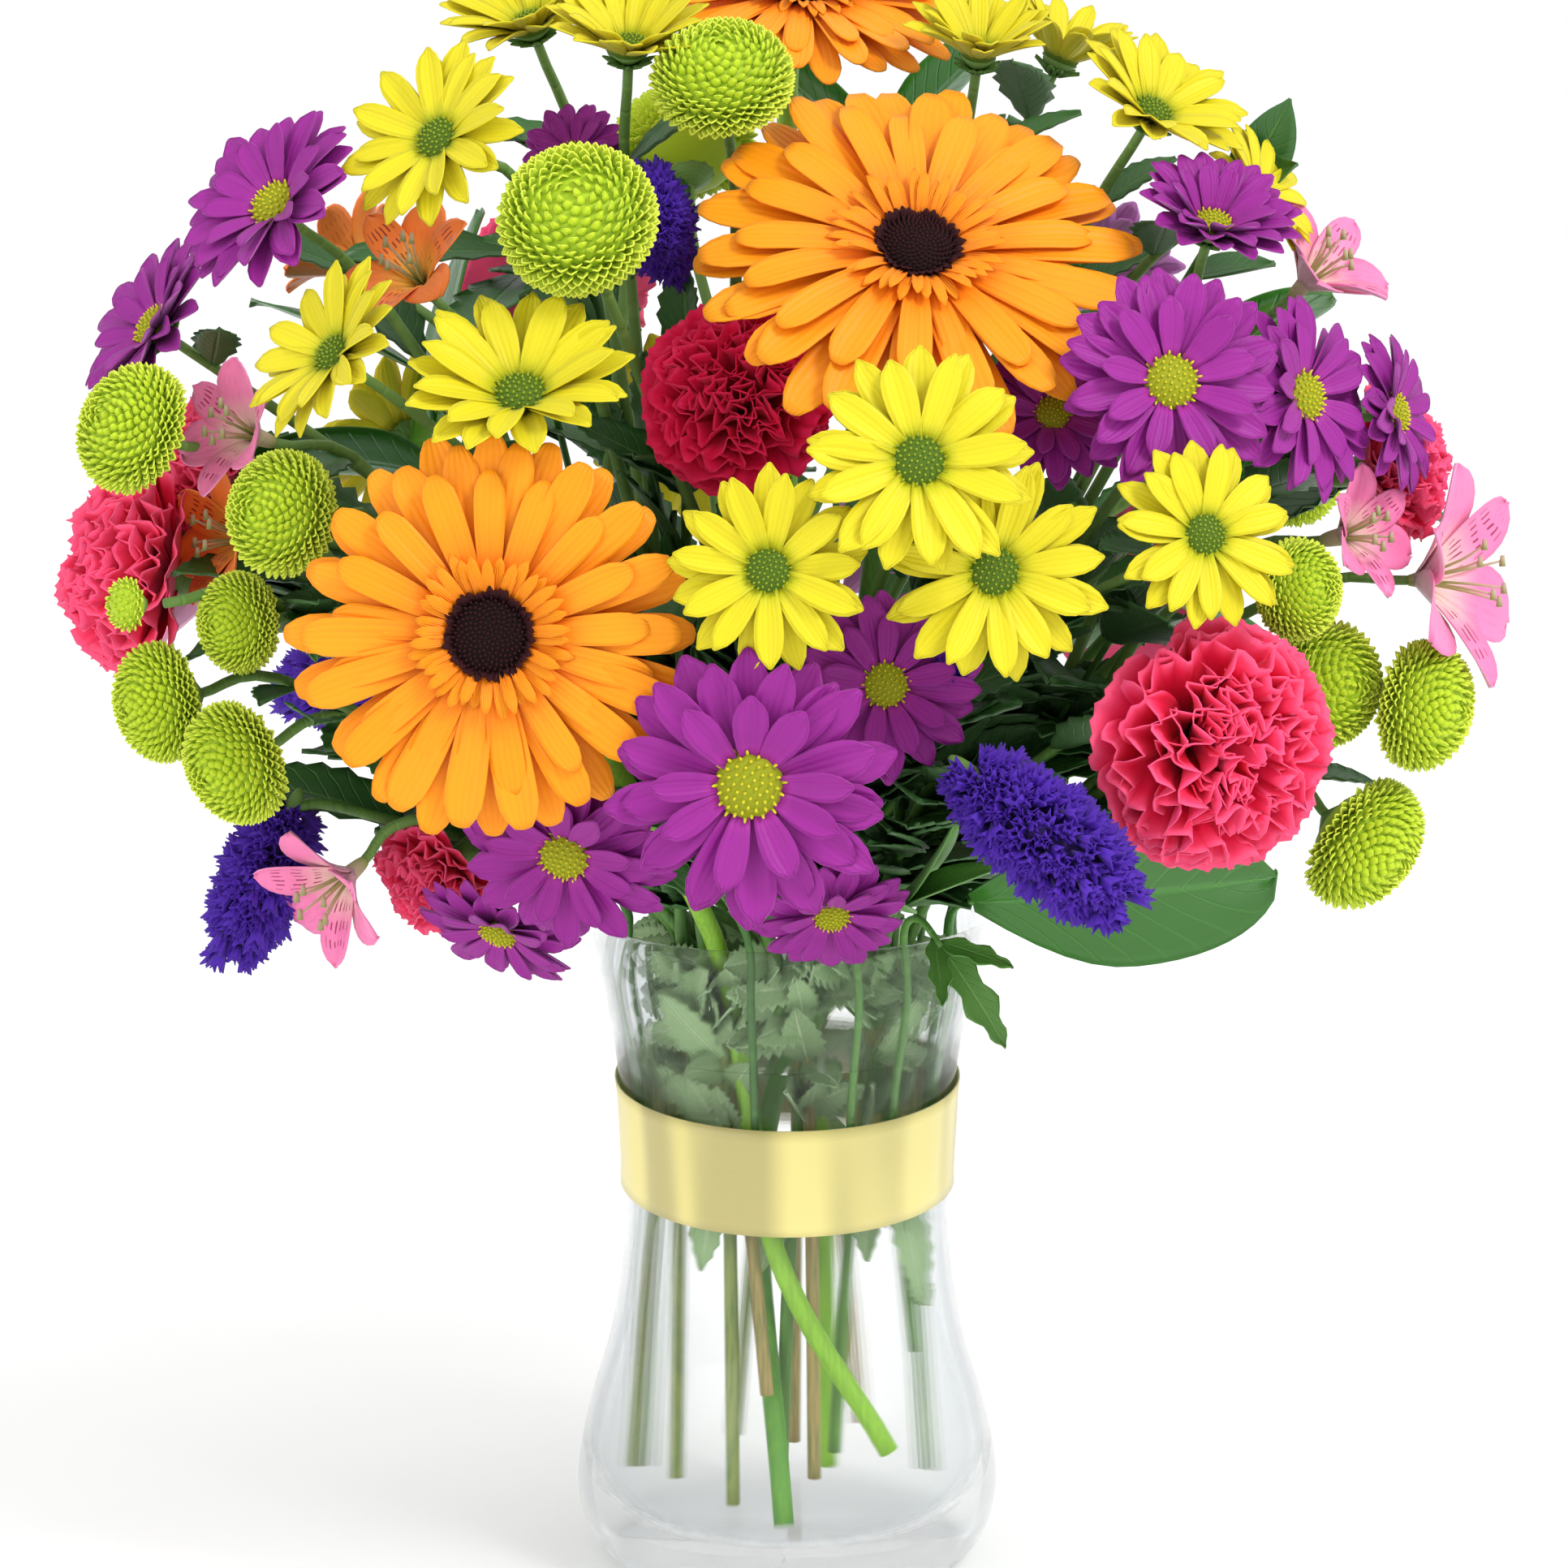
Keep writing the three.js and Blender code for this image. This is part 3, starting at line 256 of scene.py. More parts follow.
# Leaves left on a bundle's stems inside the vase: (which leg, place along it, tip, width, facing).
VASE_LEAVES = {
    "front_left": [
        (0, 0.95, (-38, -30, 178), 14, (-0.5, -0.8, 0)),
        (1, 0.75, (-30, -32, 154), 13, (-0.5, -0.8, 0.2)),
        (1, 0.72, (-26, -28, 94), 14, (-0.4, -0.8, 0.2)),
    ],
    "front": [
        (0, 0.95, (2, -42, 176), 14, (-0.1, -0.9, 0.2)), (0, 0.8, (22, -34, 152), 13, (0.4, -0.8, 0.2)),
        (1, 0.7, (-8, -22, 92), 12, (-0.1, -0.9, 0.2)),
    ],
    "right": [
        (1, 0.94, (38, -26, 176), 12, (0.6, -0.7, 0)), (1, 0.3, (43, -14, 80), 9, (0.6, -0.7, 0.2)),
        (1, 0.62, (40, -14, 82), 14, (0.5, -0.8, 0.1)), (2, 0.6, (38, -2, 92), 12, (0.7, -0.6, 0.1)),
        (0, 0.66, (24, -30, 98), 11, (0.2, -0.9, 0.1)),
    ],
    "left": [
        (0, 0.8, (-42, -10, 166), 12, (-0.7, -0.7, 0)), (0, 0.72, (-40, -12, 102), 11, (-0.7, -0.6, 0.1)),
    ],
    "back": [
        (0, 0.7, (-26, 24, 98), 15, (-0.3, -0.8, 0.1)), (1, 0.7, (30, 24, 94), 14, (0.3, -0.8, 0.1)),
    ],
}

# How each kind of leaf is cut: (root, peak, sharp, cup, groove, columns, rows, notches, their depth).
LEAF_CUTS = {
    "broad": (0.14, 0.48, 0.46, 0.16, 0.3, 12, 16, 0, 0),
    "lobed": (0.2, 0.4, 0.8, 0.2, 0, 10, 14, 3, 0.42),
    "strap": (0.5, 0.35, 1.0, 0.3, 0.2, 6, 12, 0, 0),
    "plain": (0.12, 0.4, 1.0, 0.3, 0.15, 6, 12, 0, 0),
    "toothed": (0.1, 0.45, 0.9, 0.25, 0.2, 8, 14, 7, 0.2),
    "small": (0.1, 0.45, 0.8, 0.15, 0.2, 6, 16, 8, 0.3),
}
FROND_LOOKS = {"broad": "broad", "strap": "strap", "lobed": "strap", "plain": "leaf", "toothed": "leaf"}


# ---------------------------------------------------------------- shader maths


def feed(tree, slot, value):
    """Links a value into a slot of a node, or sets it there as a constant."""
    if isinstance(value, Value):
        tree.links.new(value.socket, slot)
    else:
        slot.default_value = (*value, 1.0) if slot.type == "RGBA" else value


class Value:
    """A number in a material; arithmetic on it adds its Math nodes."""

    def __init__(self, tree, socket):
        self.tree, self.socket = tree, socket

    def _math(self, operation, *values):
        node = self.tree.nodes.new("ShaderNodeMath")
        node.operation = operation
        for slot, value in zip(node.inputs, values):
            feed(self.tree, slot, value)
        return Value(self.tree, node.outputs[0])

    def __add__(self, other):
        return self._math("ADD", self, other)

    def __radd__(self, other):
        return self._math("ADD", other, self)

    def __sub__(self, other):
        return self._math("SUBTRACT", self, other)

    def __rsub__(self, other):
        return self._math("SUBTRACT", other, self)

    def __mul__(self, other):
        return self._math("MULTIPLY", self, other)

    def __rmul__(self, other):
        return self._math("MULTIPLY", other, self)

    def __abs__(self):
        return self._math("ABSOLUTE", self)

    def sine(self):
        return self._math("SINE", self)

    def between(self, low, high):
        """0 below low and 1 above high, eased in between."""
        node = self.tree.nodes.new("ShaderNodeMapRange")
        node.interpolation_type = "SMOOTHSTEP"
        for key, value in (("Value", self), ("From Min", low), ("From Max", high)):
            feed(self.tree, node.inputs[key], value)
        return Value(self.tree, node.outputs["Result"])


class Finish:
    """A material being put together."""

    def __init__(self, name):
        self.material = bpy.data.materials.new(name)
        self.material.use_nodes = True
        self.tree = self.material.node_tree
        self.tree.nodes.clear()

    def node(self, kind, settings=None, values=None, out=0):
        node = self.tree.nodes.new(kind)
        for key, value in (settings or {}).items():
            setattr(node, key, value)
        for key, value in (values or {}).items():
            feed(self.tree, node.inputs[key], value)
        return Value(self.tree, node.outputs[out])

    def place(self):
        return self.node("ShaderNodeTexCoord", out="Object")

    def blade(self):
        """Across a blade, along it, its upper side and its own tint, each 0 to 1."""
        whole = self.node("ShaderNodeAttribute", {"attribute_name": "blade"}, out="Color")
        parts = self.node("ShaderNodeSeparateColor", None, {0: whole}).socket.node.outputs
        return [Value(self.tree, s) for s in (*parts, whole.socket.node.outputs["Alpha"])]

    def noise(self, scale, vector=None, detail=3.0):
        values = {"Vector": vector or self.place(), "Scale": scale, "Detail": detail}
        return self.node("ShaderNodeTexNoise", None, values)

    def stretched(self, scale):
        return self.node("ShaderNodeMapping", None, {"Vector": self.place(), "Scale": scale})

    def mix(self, factor, a, b):
        return self.node("ShaderNodeMix", {"data_type": "RGBA"}, {0: factor, 6: a, 7: b}, 2)

    def bump(self, height, depth, strength):
        return self.node("ShaderNodeBump", None, {"Height": height, "Distance": depth, "Strength": strength})

    def done(self, colour, roughness, normal=None, **constants):
        values = {"Base Color": colour, "Roughness": roughness}
        if normal:
            values["Normal"] = normal
        values.update({key.replace("_", " "): value for key, value in constants.items()})
        shader = self.node("ShaderNodeBsdfPrincipled", None, values)
        output = self.tree.nodes.new("ShaderNodeOutputMaterial")
        self.tree.links.new(shader.socket, output.inputs["Surface"])
        return self.material


def toned(rgb, times, plus=0):
    """A colour made darker or lighter."""
    return tuple(min(1, c * times + plus) for c in rgb)


def petal_finish(name, tip, root, back, streak=0.25, rough=0.5, root_end=0.35, edge=None):
    """A petal: its root colour runs into the tip's, with fine lengthwise streaks and its own back."""
    f = Finish(name)
    across, along, upper, tint = f.blade()
    lines = (across * 34 + f.noise(60) * 5).sine() * 0.5 + 0.5
    body = f.mix(along.between(0.02, root_end), root, tip)
    body = f.mix(lines * streak * 0.5, body, toned(tip, 0.55))
    if edge:
        body = f.mix(along.between(0.75, 1.0) * 0.7, body, edge)
    body = f.mix(tint * 0.22, body, toned(tip, 1.25, 0.02))
    body = f.mix(f.noise(35) * 0.15, body, toned(root, 0.8))
    body = f.mix((1 - upper.between(0.0, 0.15)) * 0.9, body, back)
    height = lines * 0.6 + f.noise(700) * 0.4
    return f.done(body, rough, f.bump(height, 0.00025, 0.7), Sheen_Weight=0.05, Specular_IOR_Level=0.25)


def leaf_finish(name, upper_colour, under_colour, vein, rough=0.38):
    """A leaf: mottled, with a midrib and side veins above and its own colour below."""
    f = Finish(name)
    across, along, upper, tint = f.blade()
    side = abs(across - 0.5) * 2
    rib = 1 - side.between(0.02, 0.1)
    veins = ((along * 9 - side * 2.2) * 6.283).sine().between(0.8, 1.0) * (1 - side.between(0.8, 1.0))
    body = f.mix(f.noise(50), upper_colour, toned(upper_colour, 0.6))
    body = f.mix(tint * 0.35, body, toned(upper_colour, 1.5))
    body = f.mix(rib * 0.7 + veins * 0.35, body, vein)
    body = f.mix(1 - upper.between(0.3, 0.7), body, under_colour)
    height = f.noise(260) * 0.4 - rib - veins * 0.6
    return f.done(body, rough + f.noise(90) * 0.15, f.bump(height, 0.0005, 0.6))


def stem_finish(name, colour, dark, other):
    """A stem: streaked along its length, and of the other colour where its tint says so."""
    f = Finish(name)
    tint = f.blade()[3]
    streaks = f.noise(1, f.stretched((900, 900, 60)))
    body = f.mix(tint, colour, other)
    body = f.mix(streaks.between(0.35, 0.7) * 0.6, body, dark)
    body = f.mix(f.noise(18).between(0.55, 0.8) * 0.4, body, (0.35, 0.2, 0.06))
    return f.done(body, 0.5, f.bump(streaks, 0.0003, 0.5))


def bead_finish(name, low, high, rough=0.7):
    """Tiny florets: dark between them and lighter at their tips."""
    f = Finish(name)
    _, along, _, tint = f.blade()
    body = f.mix(along.between(0.1, 0.9), low, high)
    body = f.mix(tint * 0.4, body, toned(high, 0.6))
    body = f.mix(f.noise(500) * 0.3, body, low)
    return f.done(body, rough, f.bump(f.noise(1500), 0.0002, 0.6), Specular_IOR_Level=0.2)


def glass_finish():
    """Clear glass, with painted grey shade where it turns away from the camera."""
    f = Finish("clear_glass")
    ripples = f.bump(f.noise(9, detail=1.0), 0.0004, 0.2)
    painted_edge_shade = f.node("ShaderNodeLayerWeight", None, {"Blend": 0.35}, "Facing")
    # Painted shade: the colour goes blue-grey where the glass faces away from the camera.
    body = f.mix(painted_edge_shade, (0.98, 0.99, 0.99), (0.44, 0.5, 0.55))
    return f.done(body, 0.01, ripples, Transmission_Weight=1.0, IOR=1.07, Coat_Weight=0.5, Alpha=0.6)


def water_finish():
    f = Finish("clear_water")
    ripples = f.bump(f.noise(5, detail=1.0), 0.0003, 0.2)
    return f.done((0.98, 0.99, 0.98), 0.01, ripples, Transmission_Weight=1.0, IOR=1.03, Alpha=0.4)


def satin_finish(colour):
    """Satin: broad painted stripes of sheen and shade round the vase, and fine threads."""
    f = Finish("gold_satin")
    painted_sheen_bands = f.noise(1, f.stretched((44, 44, 2)), detail=1.0)
    threads = f.noise(1, f.stretched((700, 700, 5200)), detail=1.0)
    # Painted light and shade: the gold darkens and lightens in soft stripes that stand in for the satin's
    # sheen.
    body = f.mix(painted_sheen_bands.between(0.4, 0.6), toned(colour, 0.58), colour)
    body = f.mix(threads * 0.08, body, (1.0, 0.95, 0.7))
    weave = f.bump(threads, 0.00003, 0.4)
    rough = 0.3 + threads * 0.08
    return f.done(body, rough, weave, Sheen_Weight=0.3, Anisotropic=0.4, Specular_IOR_Level=0.5)


def lily_finish(name, tip, root, back, streak):
    """A tepal: pale at its root, with dark broken streaks on the inner ones."""
    f = Finish(name)
    across, along, upper, tint = f.blade()
    body = f.mix(along.between(0.1, 0.6), root, tip)
    body = f.mix(f.noise(120) * 0.4, body, toned(tip, 1.3, 0.05))
    middle = 1 - (abs(across - 0.5) * 2).between(0.5, 0.95)
    lines = (across * 44 + f.noise(200) * 3).sine().between(0.35, 0.75)
    broken = (along * 30 + f.noise(160) * 9).sine().between(-0.3, 0.3)
    inner = tint.between(0.5, 0.7) * 0.85 + 0.1
    zone = along.between(0.2, 0.35) * (1 - along.between(0.75, 0.92))
    body = f.mix(lines * broken * middle * inner * zone, body, streak)
    body = f.mix((1 - upper.between(0.3, 0.7)) * 0.7, body, back)
    return f.done(body, 0.45, f.bump(lines * 0.4 + f.noise(500), 0.0002, 0.5), Sheen_Weight=0.1)


# ---------------------------------------------------------------- modelling


def join(bm, part):
    """Adds a finished part to a larger shape."""
    mesh = bpy.data.meshes.new("part")
    part.to_mesh(mesh)
    part.free()
    bm.from_mesh(mesh)
    bpy.data.meshes.remove(mesh)


def facing(turn, lift):
    t, l = math.radians(turn), math.radians(lift)
    return Vector((math.sin(t) * math.cos(l), -math.cos(t) * math.cos(l), math.sin(l)))


def frame_at(origin, *axes):
    place = Matrix(axes).transposed().to_4x4()
    place.translation = origin
    return place


def head_place(head):
    """+X across the head, +Y up it and +Z the way it faces."""
    centre, (turn, lift), _ = head
    out = facing(turn, lift)
    across = Vector((math.cos(math.radians(turn)), math.sin(math.radians(turn)), 0))
    return frame_at(Vector(centre), across, out.cross(across), out)


def behind(head, distance):
    return Vector(head[0]) - facing(*head[1]) * distance


def spin(degrees, axis="Z"):
    return Matrix.Rotation(math.radians(degrees), 4, axis)


def move(x, y, z):
    return Matrix.Translation((x, y, z))


def tones(bm):
    """Each vert's place across and along its blade, whether it is on the upper side, and its tint."""
    return bm.verts.layers.float_color["blade"]


def new_shape():
    bm = bmesh.new()
    bm.verts.layers.float_color.new("blade")
    return bm


def new_shapes(count):
    return [new_shape() for _ in range(count)]


def outline(t, root, peak, sharp, end):
    """Half-width of a blade along its length, 1 at the peak."""
    if t < peak or peak == 1:
        return root + (1 - root) * math.sin(math.pi / 2 * t / peak)
    return max(end, (1 - min(1, (t - peak) / (1 - peak)) ** 2.2) ** sharp)


def blade(bm, place, length, half, root=0.4, peak=0.65, sharp=0.5, end=0.05, rise=0, curl=0, cup=0,
          groove=0, arc=0, ruffle=(0, 0, 0), teeth=(0, 0), tint=0.5, columns=4, rows=6, thick=0.45):
    """A thin petal or leaf that grows along +Y with its upper side towards +Z, bent and cupped."""
    part = new_shape()
    layer = tones(part)
    verts = bmesh.ops.create_grid(part, x_segments=columns, y_segments=rows, size=1)["verts"]
    start, bend = math.radians(rise), math.radians(curl)
    amount, times = teeth
    waves, phase, size = ruffle
    for v in verts:
        u, s = v.co.x, (v.co.y + 1) / 2
        t = s * (1.5 - 0.5 * s)
        w = outline(t, root, peak, sharp, end) * half
        notch = amount * t ** 6 * (0.5 - 0.5 * math.cos(u * math.pi * times))
        reach = t * (1 - notch) * (1 - arc * t * u * u)
        heading = start - bend * reach
        if abs(bend) > 1e-3:
            y = (math.sin(start) - math.sin(heading)) / bend
            z = (math.cos(heading) - math.cos(start)) / bend
        else:
            y, z = math.cos(start) * reach, math.sin(start) * reach
        lift = cup * w * u * u - groove * math.cos(u * 2.5 * math.pi) * math.sin(math.pi * min(1, t * 1.1))
        lift += size * t ** 3 * (math.sin(u * waves + phase) + 0.3 * math.sin(u * waves * 2.1 + phase * 3))
        y, z = y * length - lift * math.sin(heading), z * length + lift * math.cos(heading)
        v.co = place @ Vector((u * w, y, z))
        v[layer] = (u / 2 + 0.5, t, 1, tint)
    part.normal_update()
    starts = {tuple(v[layer])[:2]: v.co.copy() for v in verts}
    # Solidify throws new verts far out at tight corners, so each is put back at the thickness.
    for v in bmesh.ops.solidify(part, geom=part.faces[:], thickness=thick)["geom"]:
        if isinstance(v, bmesh.types.BMVert):
            across, along, _, own = v[layer]
            start = starts[across, along]
            v.co = start + (v.co - start).normalized() * thick
            v[layer] = (across, along, 0, own)
    join(bm, part)


def smooth_line(points, steps):
    """Points along a Catmull-Rom curve through the given ones."""
    points = [Vector(p) for p in points]
    ends = [points[0] * 2 - points[1], *points, points[-1] * 2 - points[-2]]
    line = []
    for a, b, c, d in zip(ends, ends[1:], ends[2:], ends[3:]):
        for t in (i / steps for i in range(steps)):
            square, cube = (2 * a - 5 * b + 4 * c - d) * t * t, (3 * b - a - 3 * c + d) * t ** 3
            line.append(0.5 * (2 * b + (c - a) * t + square + cube))
    return [*line, points[-1]]


def rod(bm, line, radii, sides=8, tint=0):
    """A round stem along a line of points, with a radius at its start and its end."""
    layer = tones(bm)
    ring = bmesh.ops.create_circle(bm, cap_ends=True, segments=sides, radius=1)["verts"]
    face = ring[0].link_faces[0]
    turn = Matrix.Identity(3)
    heading = UP
    before = Matrix.Identity(4)
    last = len(line) - 1
    for i, point in enumerate(line):
        way = (line[min(i + 1, last)] - line[max(i - 1, 0)]).normalized()
        turn = heading.rotation_difference(way).to_matrix() @ turn
        heading = way
        radius = radii[0] + (radii[1] - radii[0]) * i / last
        station = Matrix.Translation(point) @ (turn * radius).to_4x4()
        if i:
            made = bmesh.ops.extrude_face_region(bm, geom=[face])["geom"]
            if i > 1:
                bmesh.ops.delete(bm, geom=[face], context="FACES_ONLY")
            face = next(g for g in made if isinstance(g, bmesh.types.BMFace))
            ring = [g for g in made if isinstance(g, bmesh.types.BMVert)]
        bmesh.ops.transform(bm, verts=ring, matrix=station @ before.inverted())
        for v in ring:
            v[layer] = (0.5, i / last, 1, tint)
        before = station


def cone(bm, place, low, high, depth, sides, tint, span=None):
    """A cone from its low radius up to its high one, toned along its height or along a span of it."""
    made = bmesh.ops.create_cone(bm, cap_ends=True, segments=sides, radius1=low, radius2=high, depth=depth)
    verts = made["verts"]
    span = span or depth
    for v in verts:
        v[tones(bm)] = (0.5, min(1, max(0, (v.co.z + span / 2) / span)), 1, tint)
    bmesh.ops.transform(bm, verts=verts, matrix=place)


def bead(bm, place, radius, depth, sides=5, tint=0.5, tip=0.35):
    """One tiny floret: a short cone with a blunt tip, standing on its place."""
    cone(bm, place, radius, radius * tip, depth, sides, tint)


def ball(bm, place, size, tone):
    verts = bmesh.ops.create_uvsphere(bm, u_segments=16, v_segments=10, radius=1)["verts"]
    for v in verts:
        v[tones(bm)] = (0.5, tone, 1, 0.5)
    bmesh.ops.transform(bm, verts=verts, matrix=place @ Matrix.Diagonal((*size, 1)))


def lathe(bm, profile, steps):
    """A body of revolution about +Z from points (radius, height) that start and end on the axis."""
    verts = [bm.verts.new((r, 0, z)) for r, z in profile]
    edges = [bm.edges.new(pair) for pair in zip(verts, verts[1:])]
    bmesh.ops.spin(bm, geom=verts + edges, cent=(0, 0, 0), axis=UP, angle=2 * math.pi, steps=steps,
                   use_merge=True)
    bmesh.ops.remove_doubles(bm, verts=bm.verts[:], dist=1e-4)


def spiral(count):
    """Evenly scattered places: a fraction of the way out and an angle in degrees."""
    return [((i + 0.5) / count, i * GOLDEN_ANGLE) for i in range(count)]


def whorl(place, rng, count, jitter, offset=0):
    """Places round the middle of a head, evenly spread but for a little chance."""
    for i in range(count):
        yield place @ spin((i + offset + rng.uniform(-jitter, jitter)) * 360 / count)


def finish_piece(name, bm, material, node, slot):
    """Turns the shape into an object in metres that rides with the part and stands for its node."""
    bmesh.ops.recalc_face_normals(bm, faces=bm.faces[:])
    bmesh.ops.scale(bm, vec=(MM, MM, MM), verts=bm.verts[:])
    mesh = bpy.data.meshes.new(name)
    bm.to_mesh(mesh)
    bm.free()
    mesh.materials.append(material)
    mesh.shade_smooth()
    piece = bpy.data.objects.new(name, mesh)
    bpy.context.scene.collection.objects.link(piece)
    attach(piece, "root")
    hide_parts(node)
    return piece


def finish_pieces(node, *pieces):
    """Finishes shapes that stand for one node, each as (end of its name, shape, finish, slot); the slot is
    not used.
    """
    for end, bm, look, slot in pieces:
        finish_piece(f"{node}_{end}", bm, finish(look), node, slot)


def seeded(*words):
    return random.Random("-".join(words))


# ---------------------------------------------------------------- flowers


def gerbera_head(head, rng, petals, eye, calyx):
    place = head_place(head)
    r = head[2] / 2
    size = r / 56
    # (count, reach, half-width, rise, curl, height of the root)
    layers = [(20, 1.0, 5.3, 2, 10, 0.2), (18, 0.95, 5.2, 8, 14, 1.3), (17, 0.8, 4.4, 15, 22, 2.4)]
    for number, (count, reach, half, rise, curl, raised) in enumerate(layers):
        for turned in whorl(place, rng, count, 0.12, number * 0.5):
            length = r * reach * rng.uniform(0.94, 1.0) - 8
            at = turned @ move(0, 8, raised + rng.uniform(-0.3, 0.3)) @ spin(rng.uniform(-7, 7), "Y")
            blade(petals, at, length, half * size * rng.uniform(0.92, 1.05), root=0.42, peak=0.8, end=0.42,
                  arc=0.014, rise=rise + rng.uniform(-3, 4), curl=curl + rng.uniform(-6, 10),
                  cup=rng.uniform(-0.1, 0.3), groove=0.3, tint=rng.random(), columns=8, rows=9, thick=0.5)
    for turned in whorl(place, rng, 38, 0.3):
        at = turned @ move(0, 9.2, 3.2)
        blade(petals, at, rng.uniform(11, 15) * size, 1.5, root=0.6, peak=0.6, sharp=0.6,
              rise=rng.uniform(24, 42), curl=rng.uniform(10, 40), cup=0.6, tint=rng.uniform(0, 0.4),
              columns=2, rows=4, thick=0.4)
    for turned in whorl(place, rng, 44, 0.3):
        at = turned @ move(0, 9.0, 3.6)
        blade(eye, at, rng.uniform(3.2, 5), 0.9, root=0.7, peak=0.5, sharp=0.7, rise=rng.uniform(46, 66),
              curl=rng.uniform(0, 40), cup=0.5, tint=rng.uniform(0.5, 1), columns=2, rows=3, thick=0.5)
    ball(eye, place @ move(0, 0, 3.4), (10.2, 10.2, 3.4), 0.0)
    for out, angle in spiral(190):
        reach = 9.8 * math.sqrt(out)
        dome = 3.2 * math.sqrt(max(0, 1 - (reach / 10.2) ** 2)) + 3.6
        at = place @ spin(angle) @ move(0, reach, dome) @ spin(-reach * 3.2, "X")
        rim = reach / 10
        bead(eye, at, 0.62, 1.5 + rim, tint=0.2 + 0.8 * rim ** 3 * rng.random())
    for i in range(26):
        at = place @ spin(i * 360 / 26 + rng.uniform(-3, 3)) @ move(0, 3.4, -8.4)
        blade(calyx, at, rng.uniform(11, 13), 1.7, root=0.8, peak=0.4, sharp=1.0, rise=46, curl=22, cup=-0.5,
              tint=rng.random(), columns=2, rows=4, thick=0.6)
    cone(calyx, place @ move(0, 0, -4.6), 3.2, 10.5, 8, 20, 0.3)


def daisy_head(kind, head, rng, petals, disc, green):
    place = head_place(head)
    r = head[2] / 2
    cupped = max(0, head[1][1] - 20) * 0.7
    core = r * (0.21 if kind == "yellow" else 0.24)
    # (count, reach, half-width, rise, curl, height of the root)
    if kind == "yellow":
        layers = [(13, 1.0, 0.135, 5, 8, 0.2), (11, 0.93, 0.125, 14, 10, 0.9)]
        shape = dict(root=0.5, peak=0.62, sharp=0.55, end=0.25, arc=0.05, cup=0.35)
    else:
        layers = [(14, 1.0, 0.142, 2, 6, 0.1), (13, 0.95, 0.135, 10, 10, 0.8), (9, 0.74, 0.11, 22, 8, 1.5)]
        shape = dict(root=0.4, peak=0.66, sharp=0.48, end=0.35, arc=0.06, cup=0.4)
    for number, (count, reach, half, rise, curl, raised) in enumerate(layers):
        for turned in whorl(place, rng, count, 0.15, number * 0.5):
            at = turned @ move(0, core * 0.7, raised) @ spin(rng.uniform(-9, 9), "Y")
            length = r * reach * rng.uniform(0.9, 1.0) - core * 0.7
            blade(petals, at, length, r * half * rng.uniform(0.9, 1.08),
                  rise=rise + cupped + rng.uniform(-5, 5), curl=curl + rng.uniform(-10, 12), groove=0.12,
                  tint=rng.random(), thick=0.4, **shape)
    ball(disc, place @ move(0, 0, 0.6), (core * 0.98, core * 0.98, core * 0.5), 0.1)
    for out, angle in spiral(64):
        height = 0.8 + core * 0.5 * math.sqrt(max(0, 1 - out))
        at = place @ spin(angle) @ move(0, core * math.sqrt(out), height) @ spin(-50 * out, "X")
        bead(disc, at, core * 0.085, core * (0.16 + 0.14 * out), tint=rng.random() * (1 - out))
    for i in range(12):
        at = place @ spin(i * 30 + rng.uniform(-5, 5)) @ move(0, 1.4, -4.6)
        blade(green, at, r * 0.24, 1.6, root=0.8, peak=0.4, sharp=0.9, rise=40, curl=30, cup=-0.4,
              tint=rng.random(), columns=2, rows=3, thick=0.6)
    cone(green, place @ move(0, 0, -2.6), 1.5, core, 4, 12, 0.4)


def pompon_head(head, rng, petals, green):
    place = head_place(head)
    r = head[2] / 2
    ball(petals, place, (r * 0.8, r * 0.8, r * 0.57), 0.0)
    for out, angle in spiral(90 if r < 12 else 420):
        polar = math.radians(4 + 112 * math.sqrt(out))
        across, deep = r * 0.74 * math.sin(polar), r * 0.52 * math.cos(polar)
        at = place @ spin(angle) @ move(0, across, deep) @ spin(90 - math.degrees(polar), "X")
        blade(petals, at, r * (0.15 + 0.09 * math.sin(polar)), r * 0.06, root=0.8, peak=0.5, sharp=0.35,
              rise=rng.uniform(-8, 8), curl=-30 - 50 * (1 - out), cup=0.7,
              tint=rng.random(), columns=2, rows=3, thick=0.4)
    cone(green, place @ move(0, 0, -r * 0.55), 1.5, r * 0.5, r * 0.3, 12, 0.4, span=6)


